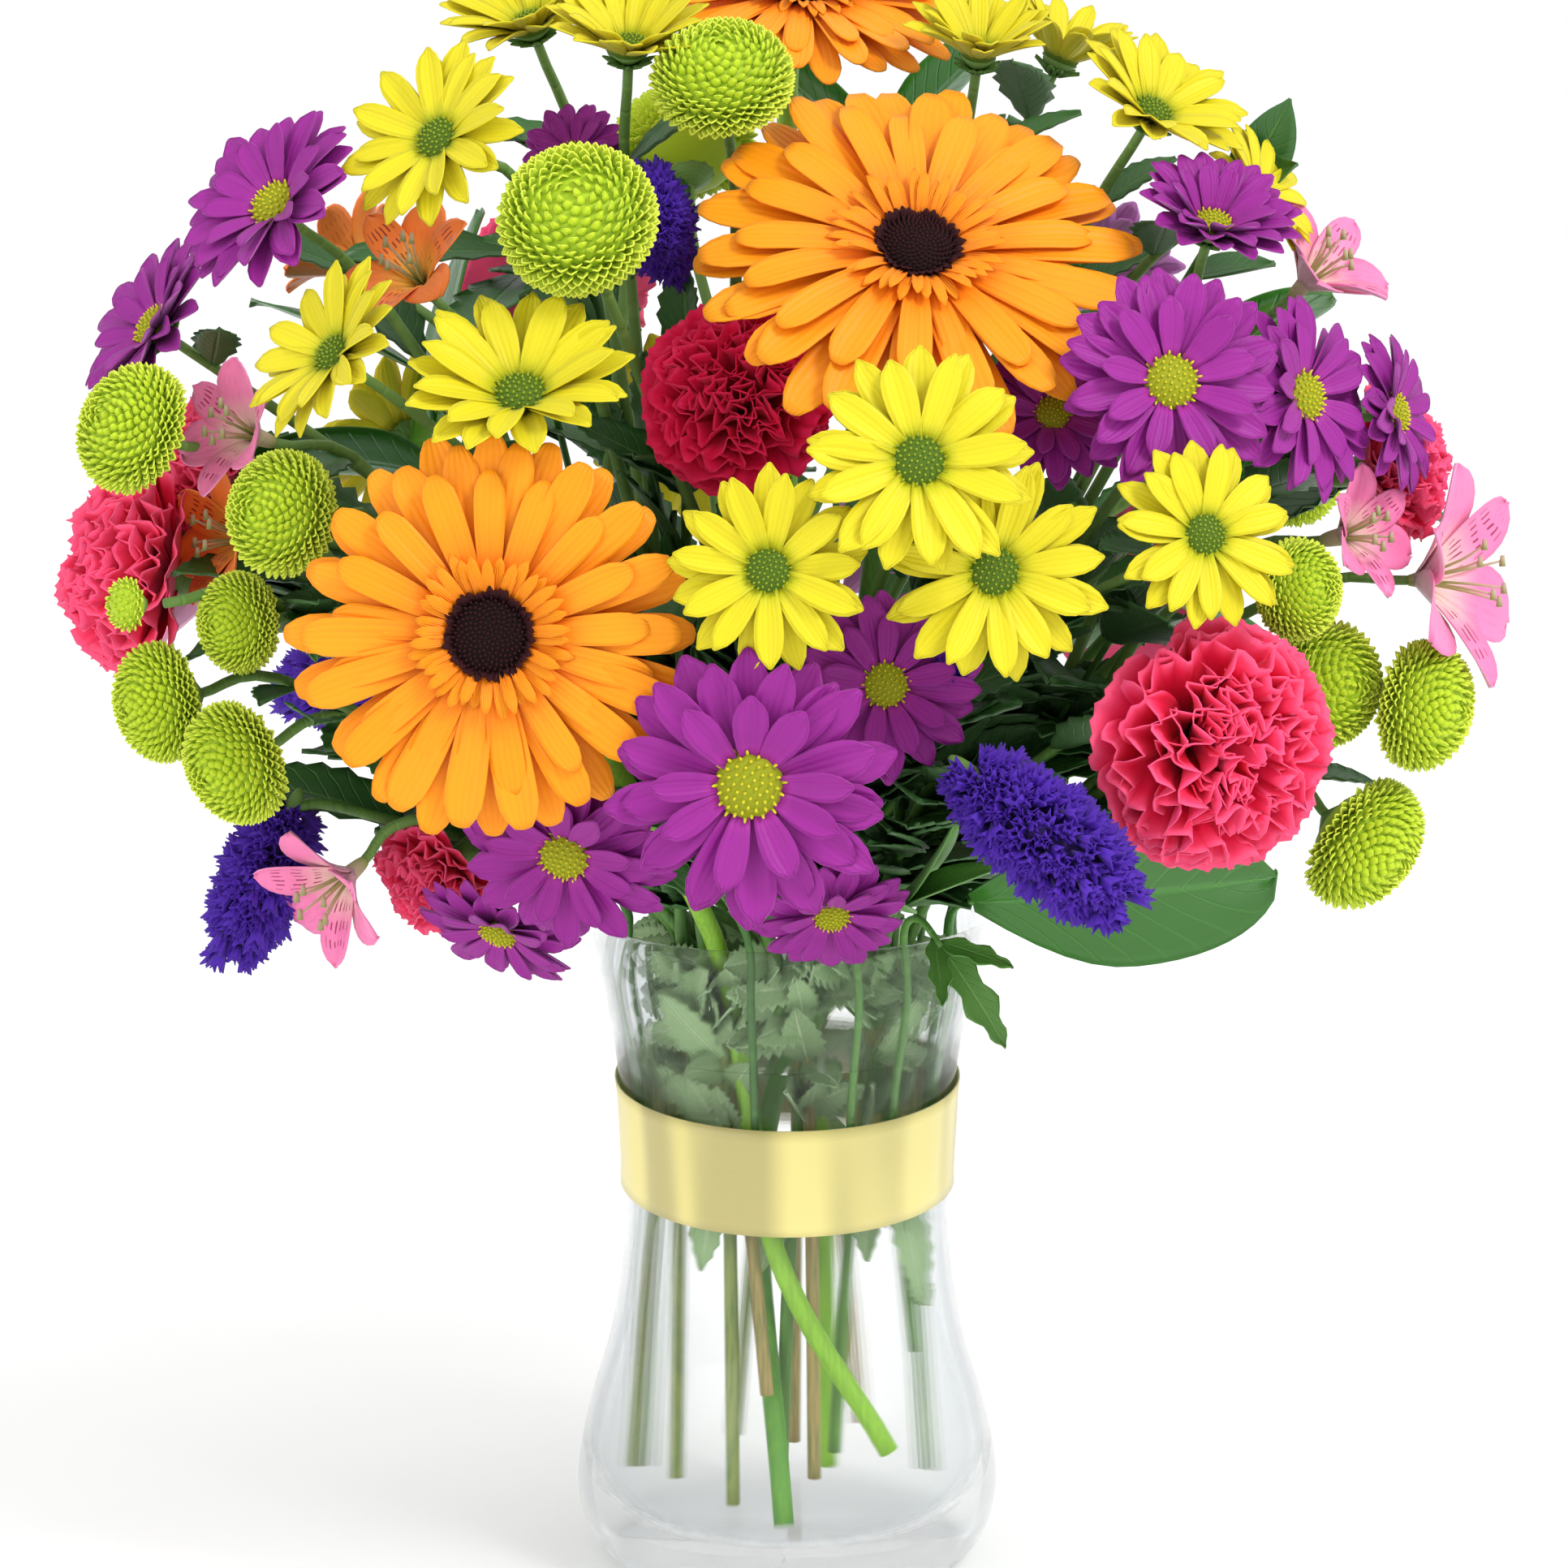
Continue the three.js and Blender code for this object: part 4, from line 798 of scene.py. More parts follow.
def carnation_head(head, rng, petals, green):
    place = head_place(head)
    r = head[2] / 2
    # (count, where the tips reach out and up, bend, half-width, depth of the frill)
    layers = [
        (6, 1.0, -0.06, 30, 0.5, 0.03), (8, 0.97, 0.1, 20, 0.44, 0.07), (8, 0.88, 0.26, 12, 0.42, 0.1),
        (8, 0.74, 0.4, 6, 0.38, 0.1), (8, 0.58, 0.5, 0, 0.34, 0.1), (7, 0.42, 0.57, -4, 0.3, 0.09),
        (6, 0.26, 0.6, -6, 0.26, 0.08), (5, 0.1, 0.62, -8, 0.22, 0.08),
    ]
    for number, (count, out, up, curl, half, frill) in enumerate(layers):
        dx, dz = r * (out - 0.04), r * (up + 0.42)
        length = math.hypot(dx, dz) * 1.02
        rise = math.degrees(math.atan2(dz, dx))
        for turned in whorl(place, rng, count, 0.3, number * 0.37):
            at = turned @ move(0, r * 0.04, -r * 0.42) @ spin(rng.uniform(-14, 14), "Y")
            reach = length * (rng.uniform(0.96, 1.0) if number < 2 else rng.uniform(0.86, 1.03))
            blade(petals, at, reach, r * half * rng.uniform(0.9, 1.1), root=0.1, peak=1, arc=0.16,
                  rise=rise + curl * 0.5 + rng.uniform(-4, 4), curl=curl + rng.uniform(-8, 8),
                  ruffle=(rng.uniform(7, 10), rng.uniform(0, 6.3), r * frill * rng.uniform(0.8, 1.2)),
                  teeth=(0.035, 15), tint=rng.random(), columns=22, rows=8, thick=0.3)
    line = [place @ Vector((0, 0, -z * r)) for z in (0.8, 0.72, 0.5, 0.3)]
    rod(green, smooth_line(line, 3), (r * 0.12, r * 0.2), 14)
    for i in range(5):
        at = place @ spin(i * 72) @ move(0, r * 0.15, -r * 0.34)
        blade(green, at, r * 0.2, r * 0.1, root=1, peak=0.2, sharp=0.9, rise=70, curl=20, columns=2, rows=3)


def statice_floret(florets, place, size, tint):
    """A papery funnel with five lobes at its mouth and a tube that reaches into the head."""
    part = new_shape()
    depth = 5.2
    bmesh.ops.create_cone(part, cap_ends=False, segments=10, radius1=0.7, radius2=3.1, depth=depth)
    for v in part.verts:
        t = v.co.z / depth + 0.5
        if t > 0.5:
            lobe = 0.5 + 0.5 * math.cos(5 * math.atan2(v.co.x, v.co.y))
            v.co.x *= 0.5 + 0.7 * lobe
            v.co.y *= 0.5 + 0.7 * lobe
            v.co.z += 2.2 * lobe - 1.2
        else:
            v.co.z *= 3
        v[tones(part)] = (0.5, t, 1, tint)
    bmesh.ops.transform(part, verts=part.verts[:], matrix=place @ Matrix.Scale(size, 4))
    part.normal_update()
    bmesh.ops.solidify(part, geom=part.faces[:], thickness=0.3)
    join(florets, part)


def statice_head(head, rng, florets, green):
    place = head_place(head)
    wide, deep = head[2] * 0.21, head[2] / 2
    # Painted shade: a dark violet core in the florets' root colour fills the head, for the shade deep between
    # the florets.
    ball(florets, place, (wide * 0.42, wide * 0.42, deep * 0.7), 0.0)
    ball(green, place @ move(0, 0, -deep * 0.74), (wide * 0.16, wide * 0.16, deep * 0.2), 0.2)
    for out, angle in spiral(int(head[2] * 8)):
        polar = math.acos(1 - 2 * (0.03 + 0.9 * out))
        scale = 0.64 + 0.3 * rng.random()
        turn = spin(angle + rng.uniform(-40, 40))
        up = deep * scale * math.cos(polar) + rng.uniform(-1.5, 1.5)
        lean = spin(-math.degrees(polar) * 0.75 + rng.uniform(-34, 34), "X")
        at = place @ turn @ move(0, wide * scale * math.sin(polar), up) @ lean
        statice_floret(florets, at, rng.uniform(0.5, 0.85), rng.random())


def lily_head(head, rng, petals, parts):
    place = head_place(head)
    r = head[2] / 2
    for number, (half, reach, curl) in enumerate([(0.36, 1.12, 44), (0.25, 1.16, 36)]):
        for i in range(3):
            angle = i * 120 + number * 60 + rng.uniform(-6, 6)
            at = place @ spin(angle) @ move(0, r * 0.05, -r * 0.34 + number * 0.5)
            blade(petals, at, r * reach, r * half, root=0.22, peak=0.6, sharp=0.62,
                  rise=52 + rng.uniform(-5, 5), curl=curl + rng.uniform(-8, 8), cup=0.22, groove=0.2,
                  ruffle=(3, rng.uniform(0, 6), 0.6), tint=(0.15, 0.9)[number], columns=8, rows=8)
    for i in range(6):
        swing = spin(i * 60 + rng.uniform(-15, 15))
        points = [(0, 0.6, -r * 0.34), (0, r * 0.14, r * 0.1), (0, r * 0.26, r * rng.uniform(0.32, 0.46))]
        line = smooth_line([place @ swing @ Vector(p) for p in points], 3)
        rod(parts, line, (0.5, 0.35), 5)
        bead(parts, Matrix.Translation(line[-1]), 1.0, 3, 6, 0.9, 0.6)
    line = smooth_line([place @ Vector((0, 0, z)) for z in (-13, -11, -r * 0.3)], 3)
    rod(parts, line, (1.6, 2.6))


# ---------------------------------------------------------------- stems and leaves


SPRAYS = {"yellow": YELLOW, "purple": PURPLE, "button": BUTTONS, "alstroemeria": LILIES}
HEADS = [
    (Vector(centre), facing(*aim), width)
    for centre, aim, width in (
        *GERBERAS.values(),
        *CARNATIONS.values(),
        *STATICE.values(),
        *((centre, (turn / 2, 10), width) for centre, (turn, _), width in STATICE.values()),
        *(head for table in SPRAYS.values() for heads in table.values() for head in heads),
    )
]


def hides_a_head(root, tip):
    """Whether a leaf from root to tip would stand in front of a flower."""
    for place_on in (0.4, 0.7, 1):
        for centre, out, width in HEADS:
            away = root.lerp(tip, place_on) - centre
            depth = away.dot(out)
            if -5 < depth < 90 and (away - out * depth).length < width * 0.55:
                return True
    return False


def fork_of(name, heads):
    if name in FORKS:
        return Vector(FORKS[name])
    middle = sum((Vector(h[0]) for h in heads), Vector()) / len(heads)
    fork = MOUTH.lerp(middle, 0.45)
    fork.z = max(226, fork.z)
    return fork


def branch_lines(name, heads, back):
    """The lines of a spray's branches, from their fork to behind its heads."""
    fork = fork_of(name, heads)
    for head in heads:
        end = behind(head, back)
        yield smooth_line([fork, behind(head, back + (end - fork).length * 0.3), end], 5)


def branches(bm, name, heads, back):
    """The branches of a spray, with a joint at their fork."""
    ball(bm, Matrix.Translation(fork_of(name, heads)), (2.4, 2.4, 2.8), 0.5)
    for line in branch_lines(name, heads, back):
        rod(bm, line, (1.9, 1.4))


def spray_leaves(bm, name, heads, back, rng):
    """Small leaves along a spray's branches, which fill the gaps behind its heads."""
    for line in branch_lines(name, heads, back):
        for place_on in (2, 4, 6, 8):
            at = line[place_on]
            way = (line[place_on + 1] - at).normalized()
            side = way.cross(UP).normalized() * rng.choice((-1, 1))
            aim = way * rng.uniform(0.4, 0.9) + side * rng.uniform(0.5, 1)
            aim += Vector((0, 0, rng.uniform(-0.5, 0.3)))
            tip = at + aim.normalized() * rng.uniform(26, 44)
            if not hides_a_head(at, tip):
                width = rng.uniform(13, 21)
                leaf(bm, "toothed", at, tip, width, (rng.uniform(-0.3, 0.3), -0.3, 0.9), rng)


def leaf(bm, kind, root, tip, width, face, rng):
    """A leaf from its root to its tip, with its upper side towards face."""
    root, tip, face = Vector(root), Vector(tip), Vector(face)
    along = (tip - root).normalized()
    out = (face - along * along.dot(face)).normalized()
    place = frame_at(root, along.cross(out), along, out)
    narrow, peak, sharp, cup, groove, columns, rows, notches, depth = LEAF_CUTS[kind]
    start = len(bm.verts)
    blade(bm, place, (tip - root).length, width / 2, narrow, peak, sharp, rise=6,
          curl=12 + rng.uniform(-4, 8), cup=cup, groove=groove,
          ruffle=(rng.uniform(2, 4), rng.uniform(0, 6), width * 0.04), tint=rng.random(),
          columns=columns, rows=rows, thick=0.5)
    if notches:
        bm.verts.ensure_lookup_table()
        layer, sideways = tones(bm), place.col[0].xyz.normalized()
        for v in bm.verts[start:]:
            across, t, _, _ = v[layer]
            row = 1.5 - math.sqrt(max(0.25, 2.25 - 2 * t))
            cut = depth * (0.5 + 0.5 * math.cos(2 * math.pi * notches * row)) * (abs(across - 0.5) * 2)
            v.co -= sideways * (v.co - place.translation).dot(sideways) * cut


def rim_way(neck, end, before, number):
    """A stem's line from the neck past the rim to its head."""
    angle = math.atan2(end.y, end.x) + math.radians((0, 9, -9, 18, -18, 27, -27)[number % 7])
    reach = (40, 33, 26)[number % 3]
    rim = Vector((reach * math.cos(angle), reach * math.sin(angle), RIM))
    return smooth_line([neck, rim, before, end], 8)


def in_the_neck(bm, root, rng):
    """A small leaf inside the neck of the vase, clear of the glass."""
    z = min(190, max(152, root.z + rng.uniform(-4, 20)))
    angle = math.atan2(root.y, root.x) + rng.uniform(-0.7, 0.7)
    reach = outer_radius(z) - rng.uniform(7, 12)
    tip = Vector((reach * math.cos(angle), reach * math.sin(angle), z))
    face = Vector((math.cos(angle), math.sin(angle), rng.uniform(0, 0.6)))
    leaf(bm, "small", root, tip, rng.uniform(10, 15), face, rng)


def outer_radius(z):
    """The radius of the vase's outer face at a height."""
    for (r0, z0), (r1, z1) in zip(VASE_OUTER, VASE_OUTER[1:]):
        if z <= z1:
            return r0 + (r1 - r0) * (z - z0) / (z1 - z0)
    return VASE_OUTER[-1][0]


def smooth_profile():
    """The vase's outer profile with its corners eased."""
    return [(p.x, p.y) for p in smooth_line([(r, z, 0) for r, z in VASE_OUTER], 4)]


# ---------------------------------------------------------------- settings


def thickness(name, description, default, low, high):
    return FloatProperty(name=name, description=description, default=default, min=low, max=high,
                         subtype="DISTANCE", unit="LENGTH")


def shade(name, description, default):
    return FloatVectorProperty(name=name, description=description, default=default, size=3, min=0, max=1,
                               subtype="COLOR")


class BouquetSizes(bpy.types.PropertyGroup):
    stem_radius: thickness("Stem radius", "Radius of the cut stems", 0.002, 0.001, 0.004)
    gerbera_stem_radius: thickness("Gerbera stem radius", "Radius of gerbera stems", 0.003, 0.002, 0.005)
    ribbon_thickness: thickness("Ribbon thickness", "Thickness of the satin ribbon", 0.0005, 0.0003, 0.001)
    vase_steps: IntProperty(name="Vase steps", description="Steps of the glass", default=96, min=24, max=192)


class BouquetColours(bpy.types.PropertyGroup):
    gerbera: shade("Gerbera", "Colour of the gerberas' petals", (0.94, 0.31, 0.001))
    yellow: shade("Yellow daisy", "Colour of the yellow daisies", (0.7, 0.6, 0.008))
    purple: shade("Purple daisy", "Colour of the purple daisies", (0.28, 0.012, 0.25))
    pompon: shade("Pompon", "Colour of the lime pompons", (0.76, 0.88, 0.08))
    carnation: shade("Carnation", "Colour of the coral carnations", (0.93, 0.02, 0.11))
    statice: shade("Statice", "Colour of the statice", (0.08, 0.015, 0.42))
    lily: shade("Alstroemeria", "Colour of the pink alstroemeria", (0.8, 0.17, 0.38))
    orange: shade("Orange alstroemeria", "Colour of the orange alstroemeria", (0.95, 0.2, 0.015))
    leaf: shade("Leaf", "Colour of the leaves", (0.03, 0.13, 0.02))
    stem: shade("Stem", "Colour of the stems", (0.13, 0.3, 0.05))
    ribbon: shade("Ribbon", "Colour of the satin ribbon", (0.82, 0.72, 0.24))


FINISHES = {}


def finish(name):
    """The shared materials, each made once."""
    if name not in FINISHES:
        c = bpy.context.scene.bouquet_colours
        make, *values = {
            # Painted shade: the gerberas' deeper orange-red roots and backs stand in for the shade in the
            # gaps between the overlapping petals.
            "gerbera": (petal_finish, "gerbera_petal", c.gerbera, (0.9, 0.19, 0.001), (0.9, 0.16, 0.001),
                        0.3, 0.5, 0.8),
            "eye": (bead_finish, "gerbera_eye", (0.004, 0.001, 0.001), (0.045, 0.006, 0.009), 0.8),
            "yellow": (petal_finish, "yellow_petal", c.yellow, (0.5, 0.52, 0.01), (0.66, 0.58, 0.02), 0.24),
            "green_disc": (bead_finish, "green_disc", (0.05, 0.12, 0.008), (0.36, 0.45, 0.03)),
            "purple": (petal_finish, "purple_petal", c.purple, (0.42, 0.03, 0.36), (0.5, 0.2, 0.5), 0.2),
            "lime_disc": (bead_finish, "lime_disc", (0.26, 0.3, 0.01), (0.72, 0.66, 0.03)),
            "pompon": (petal_finish, "pompon_petal", c.pompon, (0.34, 0.52, 0.01), (0.52, 0.7, 0.02),
                       0.05, 0.6, 0.8),
            "carnation": (petal_finish, "carnation_petal", c.carnation, (0.7, 0.006, 0.05),
                          (0.97, 0.09, 0.24), 0.05, 0.6, 0.9, (1.0, 0.14, 0.3)),
            "crimson": (petal_finish, "crimson_petal", (0.95, 0.014, 0.12), (0.6, 0.004, 0.04),
                        (0.8, 0.03, 0.12), 0.05, 0.6, 0.8),
            # Painted shade: the statice florets' dark violet roots stand in for the shade deep in the head.
            "statice": (petal_finish, "statice_floret", c.statice, (0.05, 0.03, 0.16), (0.12, 0.03, 0.5),
                        0.2, 0.7, 0.6),
            "pink": (lily_finish, "pink_petal", c.lily, (0.95, 0.75, 0.6), (0.86, 0.36, 0.6),
                     (0.3, 0.005, 0.06)),
            "orange": (lily_finish, "orange_petal", c.orange, (0.95, 0.55, 0.04), (0.9, 0.22, 0.03),
                       (0.3, 0.02, 0.01)),
            "stamen": (bead_finish, "lily_stamen", (0.3, 0.34, 0.1), (0.55, 0.42, 0.3)),
            "calyx": (leaf_finish, "green_calyx", (0.1, 0.24, 0.04), (0.12, 0.26, 0.05),
                      (0.16, 0.3, 0.06), 0.5),
            "stem": (stem_finish, "green_stem", c.stem, (0.06, 0.15, 0.04), (0.46, 0.34, 0.12)),
            "gerbera_stem": (stem_finish, "bright_stem", (0.3, 0.6, 0.04), (0.18, 0.4, 0.03),
                             (0.03, 0.2, 0.04)),
            "leaf": (leaf_finish, "dark_leaf", c.leaf, (0.06, 0.15, 0.045), (0.08, 0.22, 0.04)),
            "vase_leaf": (leaf_finish, "grey_leaf", (0.34, 0.52, 0.24), (0.42, 0.58, 0.34),
                          (0.62, 0.76, 0.48), 0.5),
            "broad": (leaf_finish, "glossy_leaf", (0.03, 0.15, 0.012), (0.03, 0.18, 0.012),
                      (0.06, 0.24, 0.03), 0.25),
            "strap": (leaf_finish, "strap_leaf", (0.1, 0.28, 0.04), (0.16, 0.34, 0.1),
                      (0.16, 0.36, 0.08), 0.4),
        }[name]
        FINISHES[name] = make(*values)
    return FINISHES[name]


# ---------------------------------------------------------------- operators


class Undoable:
    """What every operator of the bouquet shares."""

    bl_options = {"REGISTER", "UNDO"}


class BOUQUET_OT_vase(Undoable, bpy.types.Operator):
    """Turns the flared glass vase with its heavy floor and rounded rim"""

    bl_idname = "bouquet.vase"
    bl_label = "Vase"

    def execute(self, context):
        outer = smooth_profile()
        inner = [(r - VASE_WALL, z) for r, z in outer if z > WALL_START]
        rim = [(58.9, 194.6), (57.8, 196.2), (56.8, 196.0)]
        floor = [(57, 24), (52, 19), (48, 15.5), (40, VASE_FLOOR), (0, VASE_FLOOR)]
        bm = new_shape()
        steps = context.scene.bouquet_sizes.vase_steps
        lathe(bm, [(0, 0), *outer[:-1], *rim, *inner[::-1], *floor], steps)
        finish_piece("glass_vase", bm, glass_finish(), "vase", "glass")
        return {"FINISHED"}


class BOUQUET_OT_water(Undoable, bpy.types.Operator):
    """Fills the vase with water that meets the glass"""

    bl_idname = "bouquet.water"
    bl_label = "Water"

    def execute(self, context):
        floor = [(0, 14.1), (40, 14.1), (48, 15.7), (52, 19.2), (57, 24)]
        sides = [(r - VASE_WALL + 0.1, z) for r, z in smooth_profile() if WALL_START < z < WATER_LEVEL - 2]
        top = outer_radius(WATER_LEVEL) - VASE_WALL + 0.1
        surface = [(top, WATER_LEVEL + 0.8), (top - 2, WATER_LEVEL), (0, WATER_LEVEL)]
        bm = new_shape()
        lathe(bm, [*floor, *sides, *surface], context.scene.bouquet_sizes.vase_steps)
        finish_piece("vase_water", bm, water_finish(), "water", "water")
        return {"FINISHED"}


class BOUQUET_OT_ribbon(Undoable, bpy.types.Operator):
    """Stretches the satin ribbon round the waist of the vase"""

    bl_idname = "bouquet.ribbon"
    bl_label = "Ribbon"

    def execute(self, context):
        thick = context.scene.bouquet_sizes.ribbon_thickness / MM
        bm = new_shape()
        bmesh.ops.create_grid(bm, x_segments=160, y_segments=8, size=1)
        for v in bm.verts:
            angle = (v.co.x + 1) * math.pi
            height = (v.co.y + 1) / 2
            z = RIBBON_LOW + (RIBBON_HIGH - RIBBON_LOW) * height + RIBBON_DIP * math.sin(angle)
            soft = 0.16 * math.sin(angle * 11 + height * 1.4) + 0.1 * math.sin(angle * 23 + 2)
            curl = 0.35 * abs(2 * height - 1) ** 6
            r = outer_radius(z) + 0.45 + thick + soft * math.sin(math.pi * height) + curl
            v.co = (r * math.cos(angle), r * math.sin(angle), z)
        bmesh.ops.remove_doubles(bm, verts=bm.verts[:], dist=0.01)
        bmesh.ops.solidify(bm, geom=bm.faces[:], thickness=thick)
        satin = satin_finish(context.scene.bouquet_colours.ribbon)
        piece = finish_piece("satin_ribbon", bm, satin, "ribbon", "satin")
        length = 2 * math.pi * (outer_radius((RIBBON_LOW + RIBBON_HIGH) / 2) + 1) * MM
        return {"FINISHED"}


class BOUQUET_OT_gerberas(Undoable, bpy.types.Operator):
    """Makes the three large gerberas with their eyes and stems"""

    bl_idname = "bouquet.gerberas"
    bl_label = "Gerberas"

    def execute(self, context):
        radius = context.scene.bouquet_sizes.gerbera_stem_radius / MM
        for name, head in GERBERAS.items():
            node = f"gerbera_{name}"
            petals, eye, calyx, stem = new_shapes(4)
            gerbera_head(head, seeded("gerbera", name), petals, eye, calyx)
            line = smooth_line([*GERBERA_STEMS[name], behind(head, 52), behind(head, 8)], 8)
            rod(stem, line, (radius, radius), 12, 0.75 if name == "right" else 0)
            finish_piece(f"{node}_bloom", petals, finish("gerbera"), f"{node}_petals", "gerbera_petal")
            finish_piece(f"{node}_heart", eye, finish("eye"), f"{node}_eye", "gerbera_eye")
            finish_piece(f"{node}_calyx", calyx, finish("calyx"), f"{node}_petals", "stem")
            finish_piece(f"{node}_stalk", stem, finish("gerbera_stem"), f"{node}_stem", "stem")
        return {"FINISHED"}


def sprays(kind, make_head, looks, back, leaf_back):
    """Makes a kind's sprays; looks holds (end of the name, finish, slot) of the shapes of its heads."""
    looks = [*looks, ("branches", "calyx", "stem"), ("leaves", "leaf", "leaf")]
    for name, heads in SPRAYS[kind].items():
        node = f"{kind}_{name}"
        shapes = new_shapes(len(looks))
        rng = seeded(kind, name)
        for head in heads:
            make_head(head, rng, *shapes[:-1])
        branches(shapes[-2], node, heads, back)
        spray_leaves(shapes[-1], node, heads, leaf_back, rng)
        finish_pieces(node, *((end, bm, look, slot) for bm, (end, look, slot) in zip(shapes, looks)))


class BOUQUET_OT_yellow_daisies(Undoable, bpy.types.Operator):
    """Makes the sprays of yellow daisy chrysanthemums"""

    bl_idname = "bouquet.yellow_daisies"
    bl_label = "Yellow daisies"

    def execute(self, context):
        looks = [("blooms", "yellow", "yellow_petal"), ("discs", "green_disc", "lime_petal")]
        sprays("yellow", partial(daisy_head, "yellow"), looks, 4.5, 5)
        return {"FINISHED"}


class BOUQUET_OT_purple_daisies(Undoable, bpy.types.Operator):
    """Makes the sprays of purple daisy chrysanthemums"""

    bl_idname = "bouquet.purple_daisies"
    bl_label = "Purple daisies"

    def execute(self, context):
        looks = [("blooms", "purple", "purple_petal"), ("discs", "lime_disc", "lime_petal")]
        sprays("purple", partial(daisy_head, "purple"), looks, 4.5, 5)
        return {"FINISHED"}


class BOUQUET_OT_pompons(Undoable, bpy.types.Operator):
    """Makes the sprays of lime button chrysanthemums"""

    bl_idname = "bouquet.pompons"
    bl_label = "Pompons"

    def execute(self, context):
        sprays("button", pompon_head, [("blooms", "pompon", "lime_petal")], 11, 10)
        return {"FINISHED"}


class BOUQUET_OT_carnations(Undoable, bpy.types.Operator):
    """Makes the ruffled carnations"""

    bl_idname = "bouquet.carnations"
    bl_label = "Carnations"

    def execute(self, context):
        for name, head in CARNATIONS.items():
            petals, green = new_shapes(2)
            carnation_head(head, seeded("carnation", name), petals, green)
            kind = "crimson" if name == "middle" else "carnation"
            finish_pieces(f"carnation_{name}", ("bloom", petals, kind, "carnation_petal"),
                          ("calyx", green, "calyx", "stem"))
        return {"FINISHED"}


class BOUQUET_OT_statice(Undoable, bpy.types.Operator):
    """Makes the papery heads of statice"""

    bl_idname = "bouquet.statice"
    bl_label = "Statice"

    def execute(self, context):
        for name, head in STATICE.items():
            florets, green = new_shapes(2)
            statice_head(head, seeded("statice", name), florets, green)
            finish_pieces(f"statice_{name}", ("florets", florets, "statice", "statice_floret"),
                          ("heart", green, "calyx", "stem"))
        return {"FINISHED"}


class BOUQUET_OT_lilies(Undoable, bpy.types.Operator):
    """Makes the alstroemeria with their stamens"""

    bl_idname = "bouquet.lilies"
    bl_label = "Alstroemeria"

    def execute(self, context):
        for name, heads in LILIES.items():
            node = f"alstroemeria_{name}"
            petals, parts, green = new_shapes(3)
            rng = seeded("lily", name)
            for head in heads:
                lily_head(head, rng, petals, parts)
            branches(green, node, heads, 12.5)
            kind = "orange" if name == "orange" else "pink"
            finish_pieces(node, ("blooms", petals, kind, f"{kind}_petal"),
                          ("stamens", parts, "stamen", "stem"), ("branches", green, "calyx", "stem"))
        return {"FINISHED"}


def stem_ends():
    """Where each stem ends, at its fork or head, and the point that it passes just before."""
    ends = {}
    for kind, table in SPRAYS.items():
        for name, heads in table.items():
            fork = fork_of(f"{kind}_{name}", heads)
            back = (fork - MOUTH).normalized()
            ends[f"{kind}_{name}"] = (fork - back, fork - back * 18)
    for name, head in CARNATIONS.items():
        ends[f"carnation_{name}"] = (behind(head, head[2] * 0.4), behind(head, head[2] * 0.4 + 26))
    for name, head in STATICE.items():
        before = behind(head, head[2] * 0.44).lerp(MOUTH, 0.14)
        ends[f"statice_{name}"] = (behind(head, head[2] * 0.38), before)
    return ends


class BOUQUET_OT_stems(Undoable, bpy.types.Operator):
    """Draws the gathered stems from their cut ends through the neck to the flowers"""

    bl_idname = "bouquet.stems"
    bl_label = "Stems"

    def execute(self, context):
        ends = stem_ends()
        radius = context.scene.bouquet_sizes.stem_radius / MM
        for name, ((x, y), targets, feet) in BUNDLES.items():
            bm, leaves, foliage = new_shapes(3)
            rng = seeded("stems", name)
            neck = Vector((x, y, NECK))
            ball(bm, Matrix.Translation(neck), (3.4, 3.4, 4.4), 0.5)
            for number, target in enumerate(targets):
                line = rim_way(neck, *ends[target], number)
                rod(bm, line, (radius * 0.95, radius * 0.8))
                for at, after in list(zip(line[9:], line[10:])) * (3 if name == "back" else 2):
                    way = (after - at).normalized()
                    flat = Vector((at.x, at.y, 0)).normalized()
                    side = way.cross(UP) * rng.uniform(-1, 1)
                    aim = (way * rng.uniform(0.3, 1.0) + flat * rng.uniform(0, 1) + side).normalized()
                    tip = at + aim * rng.uniform(30, 54)
                    if not hides_a_head(at, tip):
                        width = rng.uniform(15, 25)
                        face = flat * 0.5 + Vector((rng.uniform(-0.4, 0.4), 0, 0.7))
                        leaf(foliage, "toothed", at, tip, width, face, rng)
                for _ in range(3):
                    in_the_neck(leaves, line[rng.randint(1, 6)], rng)
            legs = []
            for foot in feet:
                knee = Vector((foot[0], foot[1], 70)).lerp(neck, 0.4)
                legs.append(smooth_line([foot, knee, neck], 8))
                rod(bm, legs[-1], (radius, radius), tint=rng.choice((0, 0.4, 1)))
                for _ in range(2):
                    in_the_neck(leaves, legs[-1][rng.randint(12, 15)], rng)
            for which, along, tip, width, face in VASE_LEAVES[name]:
                leaf(leaves, "toothed", legs[which][round(along * 16)], tip, width, face, rng)
            finish_pieces(f"stems_{name}", ("rods", bm, "stem", "stem"), ("foliage", foliage, "leaf", "leaf"),
                          ("leaves", leaves, "vase_leaf", "leaf"))
        return {"FINISHED"}


class BOUQUET_OT_greenery(Undoable, bpy.types.Operator):
    """Makes the leafy stalks that lean on the rim"""

    bl_idname = "bouquet.greenery"
    bl_label = "Greenery"

    def execute(self, context):
        for name, (kind, lean, stalk, leaves) in FRONDS.items():
            bm = new_shape()
            rng = seeded("frond", name)
            a = math.radians(lean)
            foot = [
                Vector((r * math.cos(a), r * math.sin(a), z))
                for r, z in ((outer_radius(z) - VASE_WALL - 1.9, z) for z in (130, 150, 178))
            ]
            line = smooth_line([*foot, *stalk], 6)
            rod(bm, line, (1.3, 1.0))
            above = line[18:]
            for along, tip, width, face in leaves:
                root = above[min(len(above) - 1, round(along * (len(above) - 1)))]
                leaf(bm, kind, root, tip, width, face, rng)
            finish_piece(f"{name}_frond", bm, finish(FROND_LOOKS[kind]), name, "leaf")
        return {"FINISHED"}


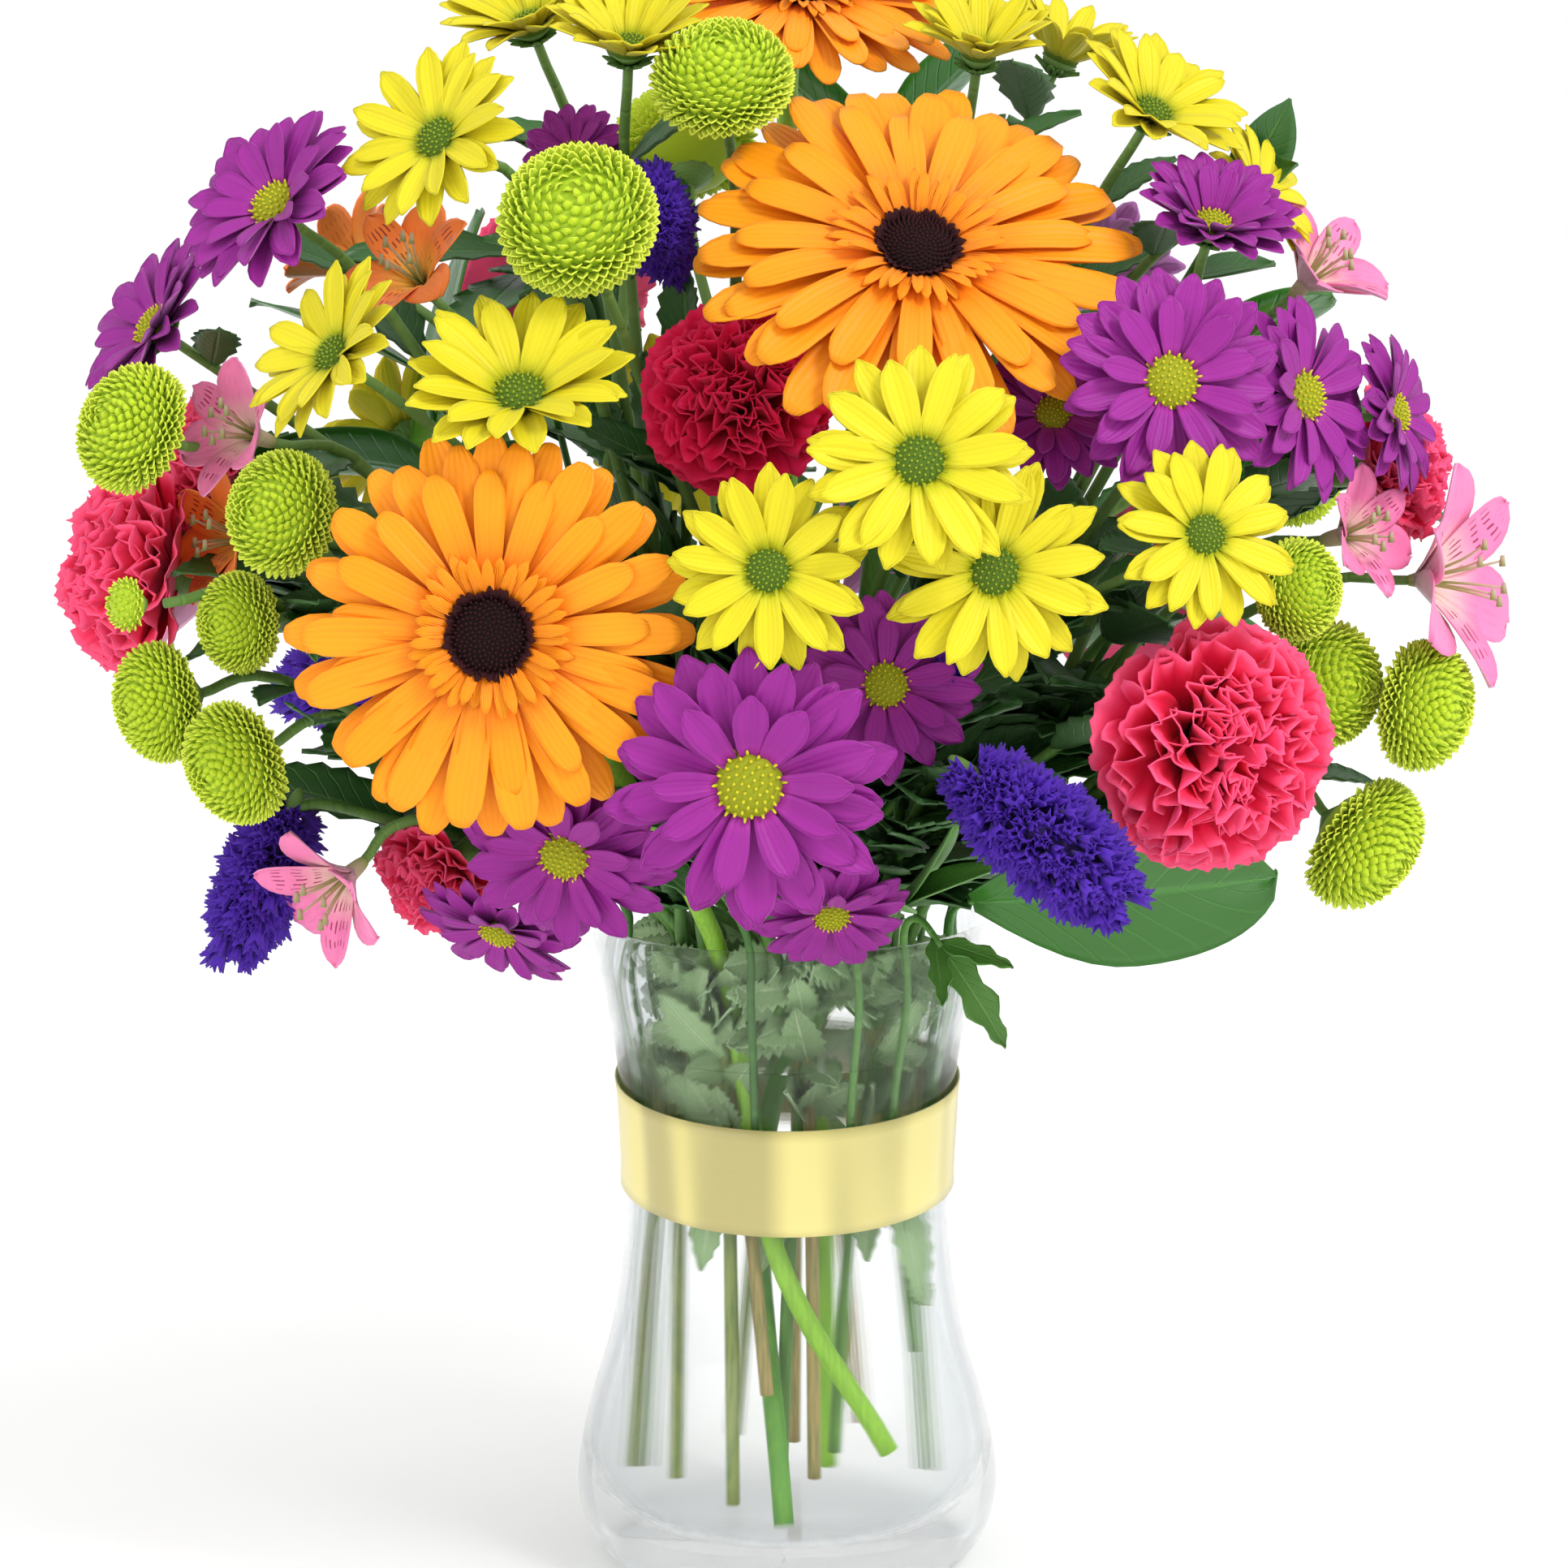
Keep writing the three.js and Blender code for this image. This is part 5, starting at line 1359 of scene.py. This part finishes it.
class BOUQUET_OT_stage(Undoable, bpy.types.Operator):
    """Lays the pale floor and sets the soft lights and the camera"""

    bl_idname = "bouquet.stage"
    bl_label = "Stage"

    def execute(self, context):
        scene = context.scene

        def placed(name, data):
            holder = bpy.data.objects.new(name, data)
            scene.collection.objects.link(holder)
            return holder

        bm = bmesh.new()
        bmesh.ops.create_grid(bm, x_segments=1, y_segments=1, size=90)
        mesh = bpy.data.meshes.new("floor")
        bm.to_mesh(mesh)
        bm.free()
        mesh.materials.append(Finish("pale_floor").done((0.97, 0.97, 0.97), 0.9, Specular_IOR_Level=0.1))
        floor = placed("floor", mesh)

        world = bpy.data.worlds.new("studio")
        scene.world = world
        world.use_nodes = True
        backdrop = world.node_tree.nodes["Background"].inputs
        backdrop["Color"].default_value = (1, 1, 1, 1)
        backdrop["Strength"].default_value = 1.05

        for name, place, aim, size, power in (
            ("key", (1.2, -1.2, 1.8), (0, 0, 0.25), 0.6, 26),
            ("fill", (-1.5, -1.4, 0.9), (0, 0, 0.3), 1.2, 8),
        ):
            lamp = bpy.data.lights.new(name, "AREA")
            lamp.size = size
            lamp.energy = power
            holder = placed(name, lamp)
            holder.location = place
            holder.rotation_euler = (Vector(aim) - Vector(place)).to_track_quat("-Z", "Y").to_euler()

        lens = bpy.data.cameras.new("camera")
        lens.lens = LENS
        lens.sensor_width = SENSOR
        eye = placed("camera", lens)
        eye.location = CAMERA_PLACE
        eye.rotation_euler = (math.radians(90 - CAMERA_DIP), 0, 0)
        scene.camera = eye
        scene.view_settings.view_transform = "Standard"
        return {"FINISHED"}


class BOUQUET_PT_panel(bpy.types.Panel):
    """Lists the bouquet's pieces"""

    bl_idname = "BOUQUET_PT_panel"
    bl_label = "Bouquet"
    bl_space_type = "VIEW_3D"
    bl_region_type = "UI"
    bl_category = "Bouquet"

    def draw(self, context):
        layout = self.layout
        for group in (context.scene.bouquet_sizes, context.scene.bouquet_colours):
            for key in group.__annotations__:
                layout.prop(group, key)
        for operator in OPERATORS:
            layout.operator(operator.bl_idname)


OPERATORS = (
    BOUQUET_OT_stage, BOUQUET_OT_vase, BOUQUET_OT_water, BOUQUET_OT_ribbon, BOUQUET_OT_gerberas,
    BOUQUET_OT_yellow_daisies, BOUQUET_OT_purple_daisies, BOUQUET_OT_pompons, BOUQUET_OT_carnations,
    BOUQUET_OT_statice, BOUQUET_OT_lilies, BOUQUET_OT_stems, BOUQUET_OT_greenery,
)
CLASSES = (BouquetSizes, BouquetColours, *OPERATORS, BOUQUET_PT_panel)


def register():
    for cls in CLASSES:
        bpy.utils.register_class(cls)
    bpy.types.Scene.bouquet_sizes = PointerProperty(type=BouquetSizes)
    bpy.types.Scene.bouquet_colours = PointerProperty(type=BouquetColours)


def unregister():
    del bpy.types.Scene.bouquet_colours
    del bpy.types.Scene.bouquet_sizes
    for cls in reversed(CLASSES):
        bpy.utils.unregister_class(cls)


def main():
    register()
    for operator in OPERATORS:
        group, name = operator.bl_idname.split(".")
        getattr(getattr(bpy.ops, group), name)()


if __name__ == "__main__":
    main()
